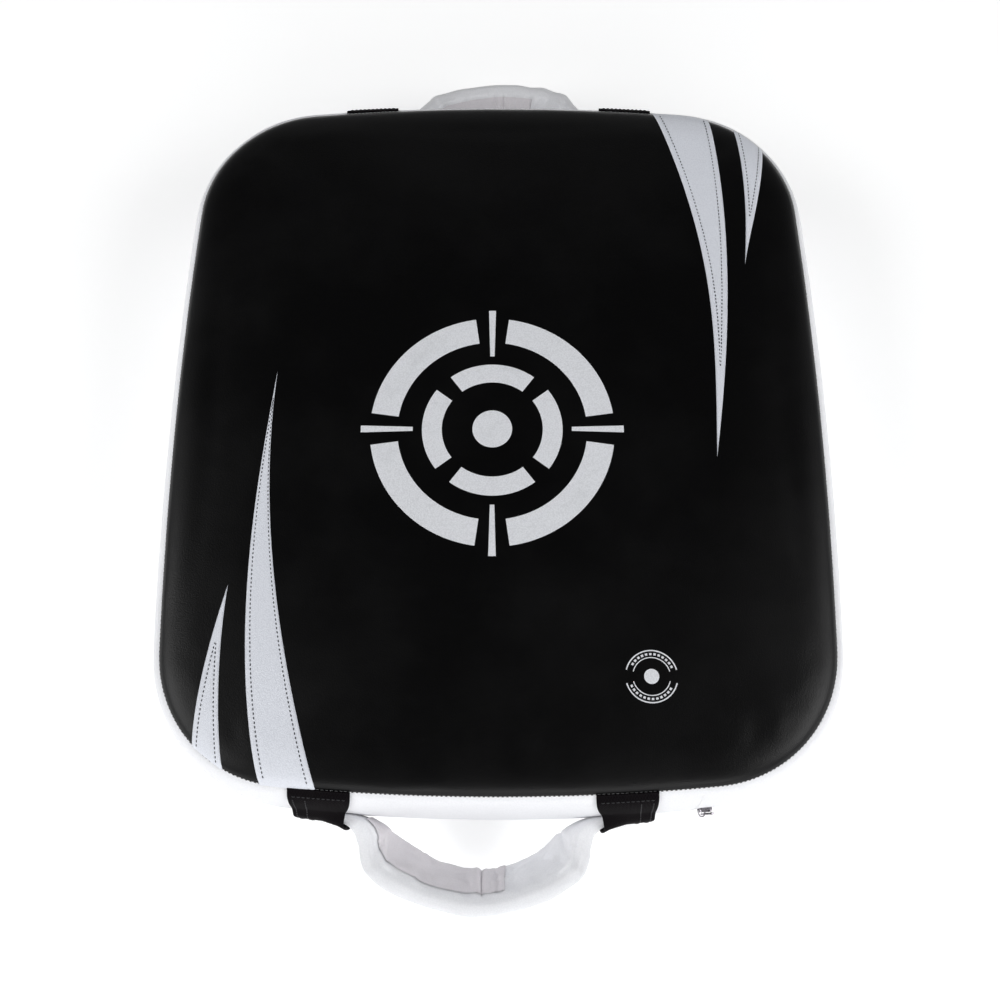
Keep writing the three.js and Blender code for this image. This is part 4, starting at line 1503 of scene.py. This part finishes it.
strike_steps = [
    (26, SEAM_Z + 4.2), (14, SEAM_Z + 3.6), (7, SEAM_Z + 1.6),
    (4, SEAM_Z - 1.5), (1, SEAM_Z - 8), (-1.5, 90.2),
]
core_steps = [(-1.5, 89.9), (-3, 82), (-3.8, 70), (-4, MID_Z + 0.15)]
foam_sheet("strike_foam", strike_steps, strike_foam, "strike_foam")
foam_sheet("rear_foam", mirrored(strike_steps), core_foam, "core_foam")
foam_sheet("core_foam_front", core_steps, core_foam, "core_foam")
foam_sheet("core_foam_rear", mirrored(core_steps), core_foam, "core_foam")

# %% [markdown]
# ## Studio
#
# The shield is shown on a white table under soft boxes. The black face is
# glossy enough to mirror a lamp, so the lamps stand round the sides and the
# ceiling stays dim: the face then reads as black, with a soft sheen only where
# it rolls off at its edge.

# %% Floor
def table_top():
    """A translucent white top, lit a little from below, which softens shadows."""
    material, tree, shader = new_material("white_table", (0.8, 0.8, 0.8), 0.85, specular=0.1)
    place = add_node(tree, "TexCoord").outputs["Object"]
    mottle = add_node(tree, "TexNoise", {"Vector": place, "Scale": 3.0, "Detail": 3.0})
    tone = mix_color(tree, mottle.outputs["Fac"], (0.79, 0.79, 0.79), (0.81, 0.81, 0.81))
    tree.links.new(tone, shader.inputs["Base Color"])
    shader.inputs["Emission Color"].default_value = (1, 1, 1, 1)
    shader.inputs["Emission Strength"].default_value = 0.44
    half = 4000.0
    corners = [(-half, -half, 0), (half, -half, 0), (half, half, 0), (-half, half, 0)]
    return make_piece("table_top", corners, [(0, 1, 2, 3)], material, body=None)


table = table_top()
print(f"table top is {table.dimensions.x:.0f} m square")

# %% Lamps
def soft_box(name, place, size, watts):
    """A rectangular lamp that shines on the middle of the table."""
    light = bpy.data.lights.new(name, "AREA")
    light.shape = "RECTANGLE"
    light.size, light.size_y = size
    light.energy = watts
    lamp = bpy.data.objects.new(name, light)
    bpy.context.scene.collection.objects.link(lamp)
    lamp.location = place
    lamp.rotation_euler = (-Vector(place)).to_track_quat("-Z", "Y").to_euler()


soft_box("left_box", (-1.9, -0.45, 1.6), (1.6, 1.2), 30)
soft_box("right_box", (1.9, -0.55, 1.6), (1.6, 1.2), 30)
soft_box("near_box", (0.2, -2.0, 1.15), (1.8, 1.0), 13)
soft_box("far_box", (0.0, 2.1, 1.3), (1.8, 1.0), 1.5)
print("lamps:", ", ".join(f"{lamp.name} {lamp.energy:.1f} W" for lamp in bpy.data.lights))

# %% [markdown]
# The sky fills in what the lamps leave dark. It is brightest low down and on
# the near side, and dim straight above, where the black face would mirror it.

# %% Sky
world = bpy.data.worlds.new("studio_sky")
world.use_nodes = True
sky = world.node_tree
seen = add_node(sky, "SeparateXYZ", {"Vector": add_node(sky, "TexCoord").outputs["Generated"]})
sky.nodes["Background"].inputs["Color"].default_value = (0.96, 0.97, 1.0, 1)
rising = remap(sky, seen.outputs["Z"], 0.15, 0.75, 0.75, 0.05)
nearer = remap(sky, seen.outputs["Y"], -0.6, 0.8, 1.1, 0.3)
sky.links.new(calc(sky, "MULTIPLY", rising, nearer), sky.nodes["Background"].inputs["Strength"])
bpy.context.scene.world = world
bpy.context.scene.view_settings.view_transform = "Standard"

# %% [markdown]
# The camera looks down from near the bottom edge, tilted 18 degrees from
# straight down, with a short portrait lens.

# %% Camera
TILT = 18.0  # degrees from straight down
camera_data = bpy.data.cameras.new("studio_camera")
camera_data.sensor_width = 36.0
camera_data.lens = 39.02
camera_data.clip_end = 50.0
camera = bpy.data.objects.new("studio_camera", camera_data)
bpy.context.scene.collection.objects.link(camera)
camera.location = (0.00106, -0.27516, 0.77426)
camera.rotation_euler = (math.radians(TILT), 0, 0)
bpy.context.scene.camera = camera
print(f"camera {camera.location.z / MM:.0f} mm up, tilted {TILT:.0f} degrees")
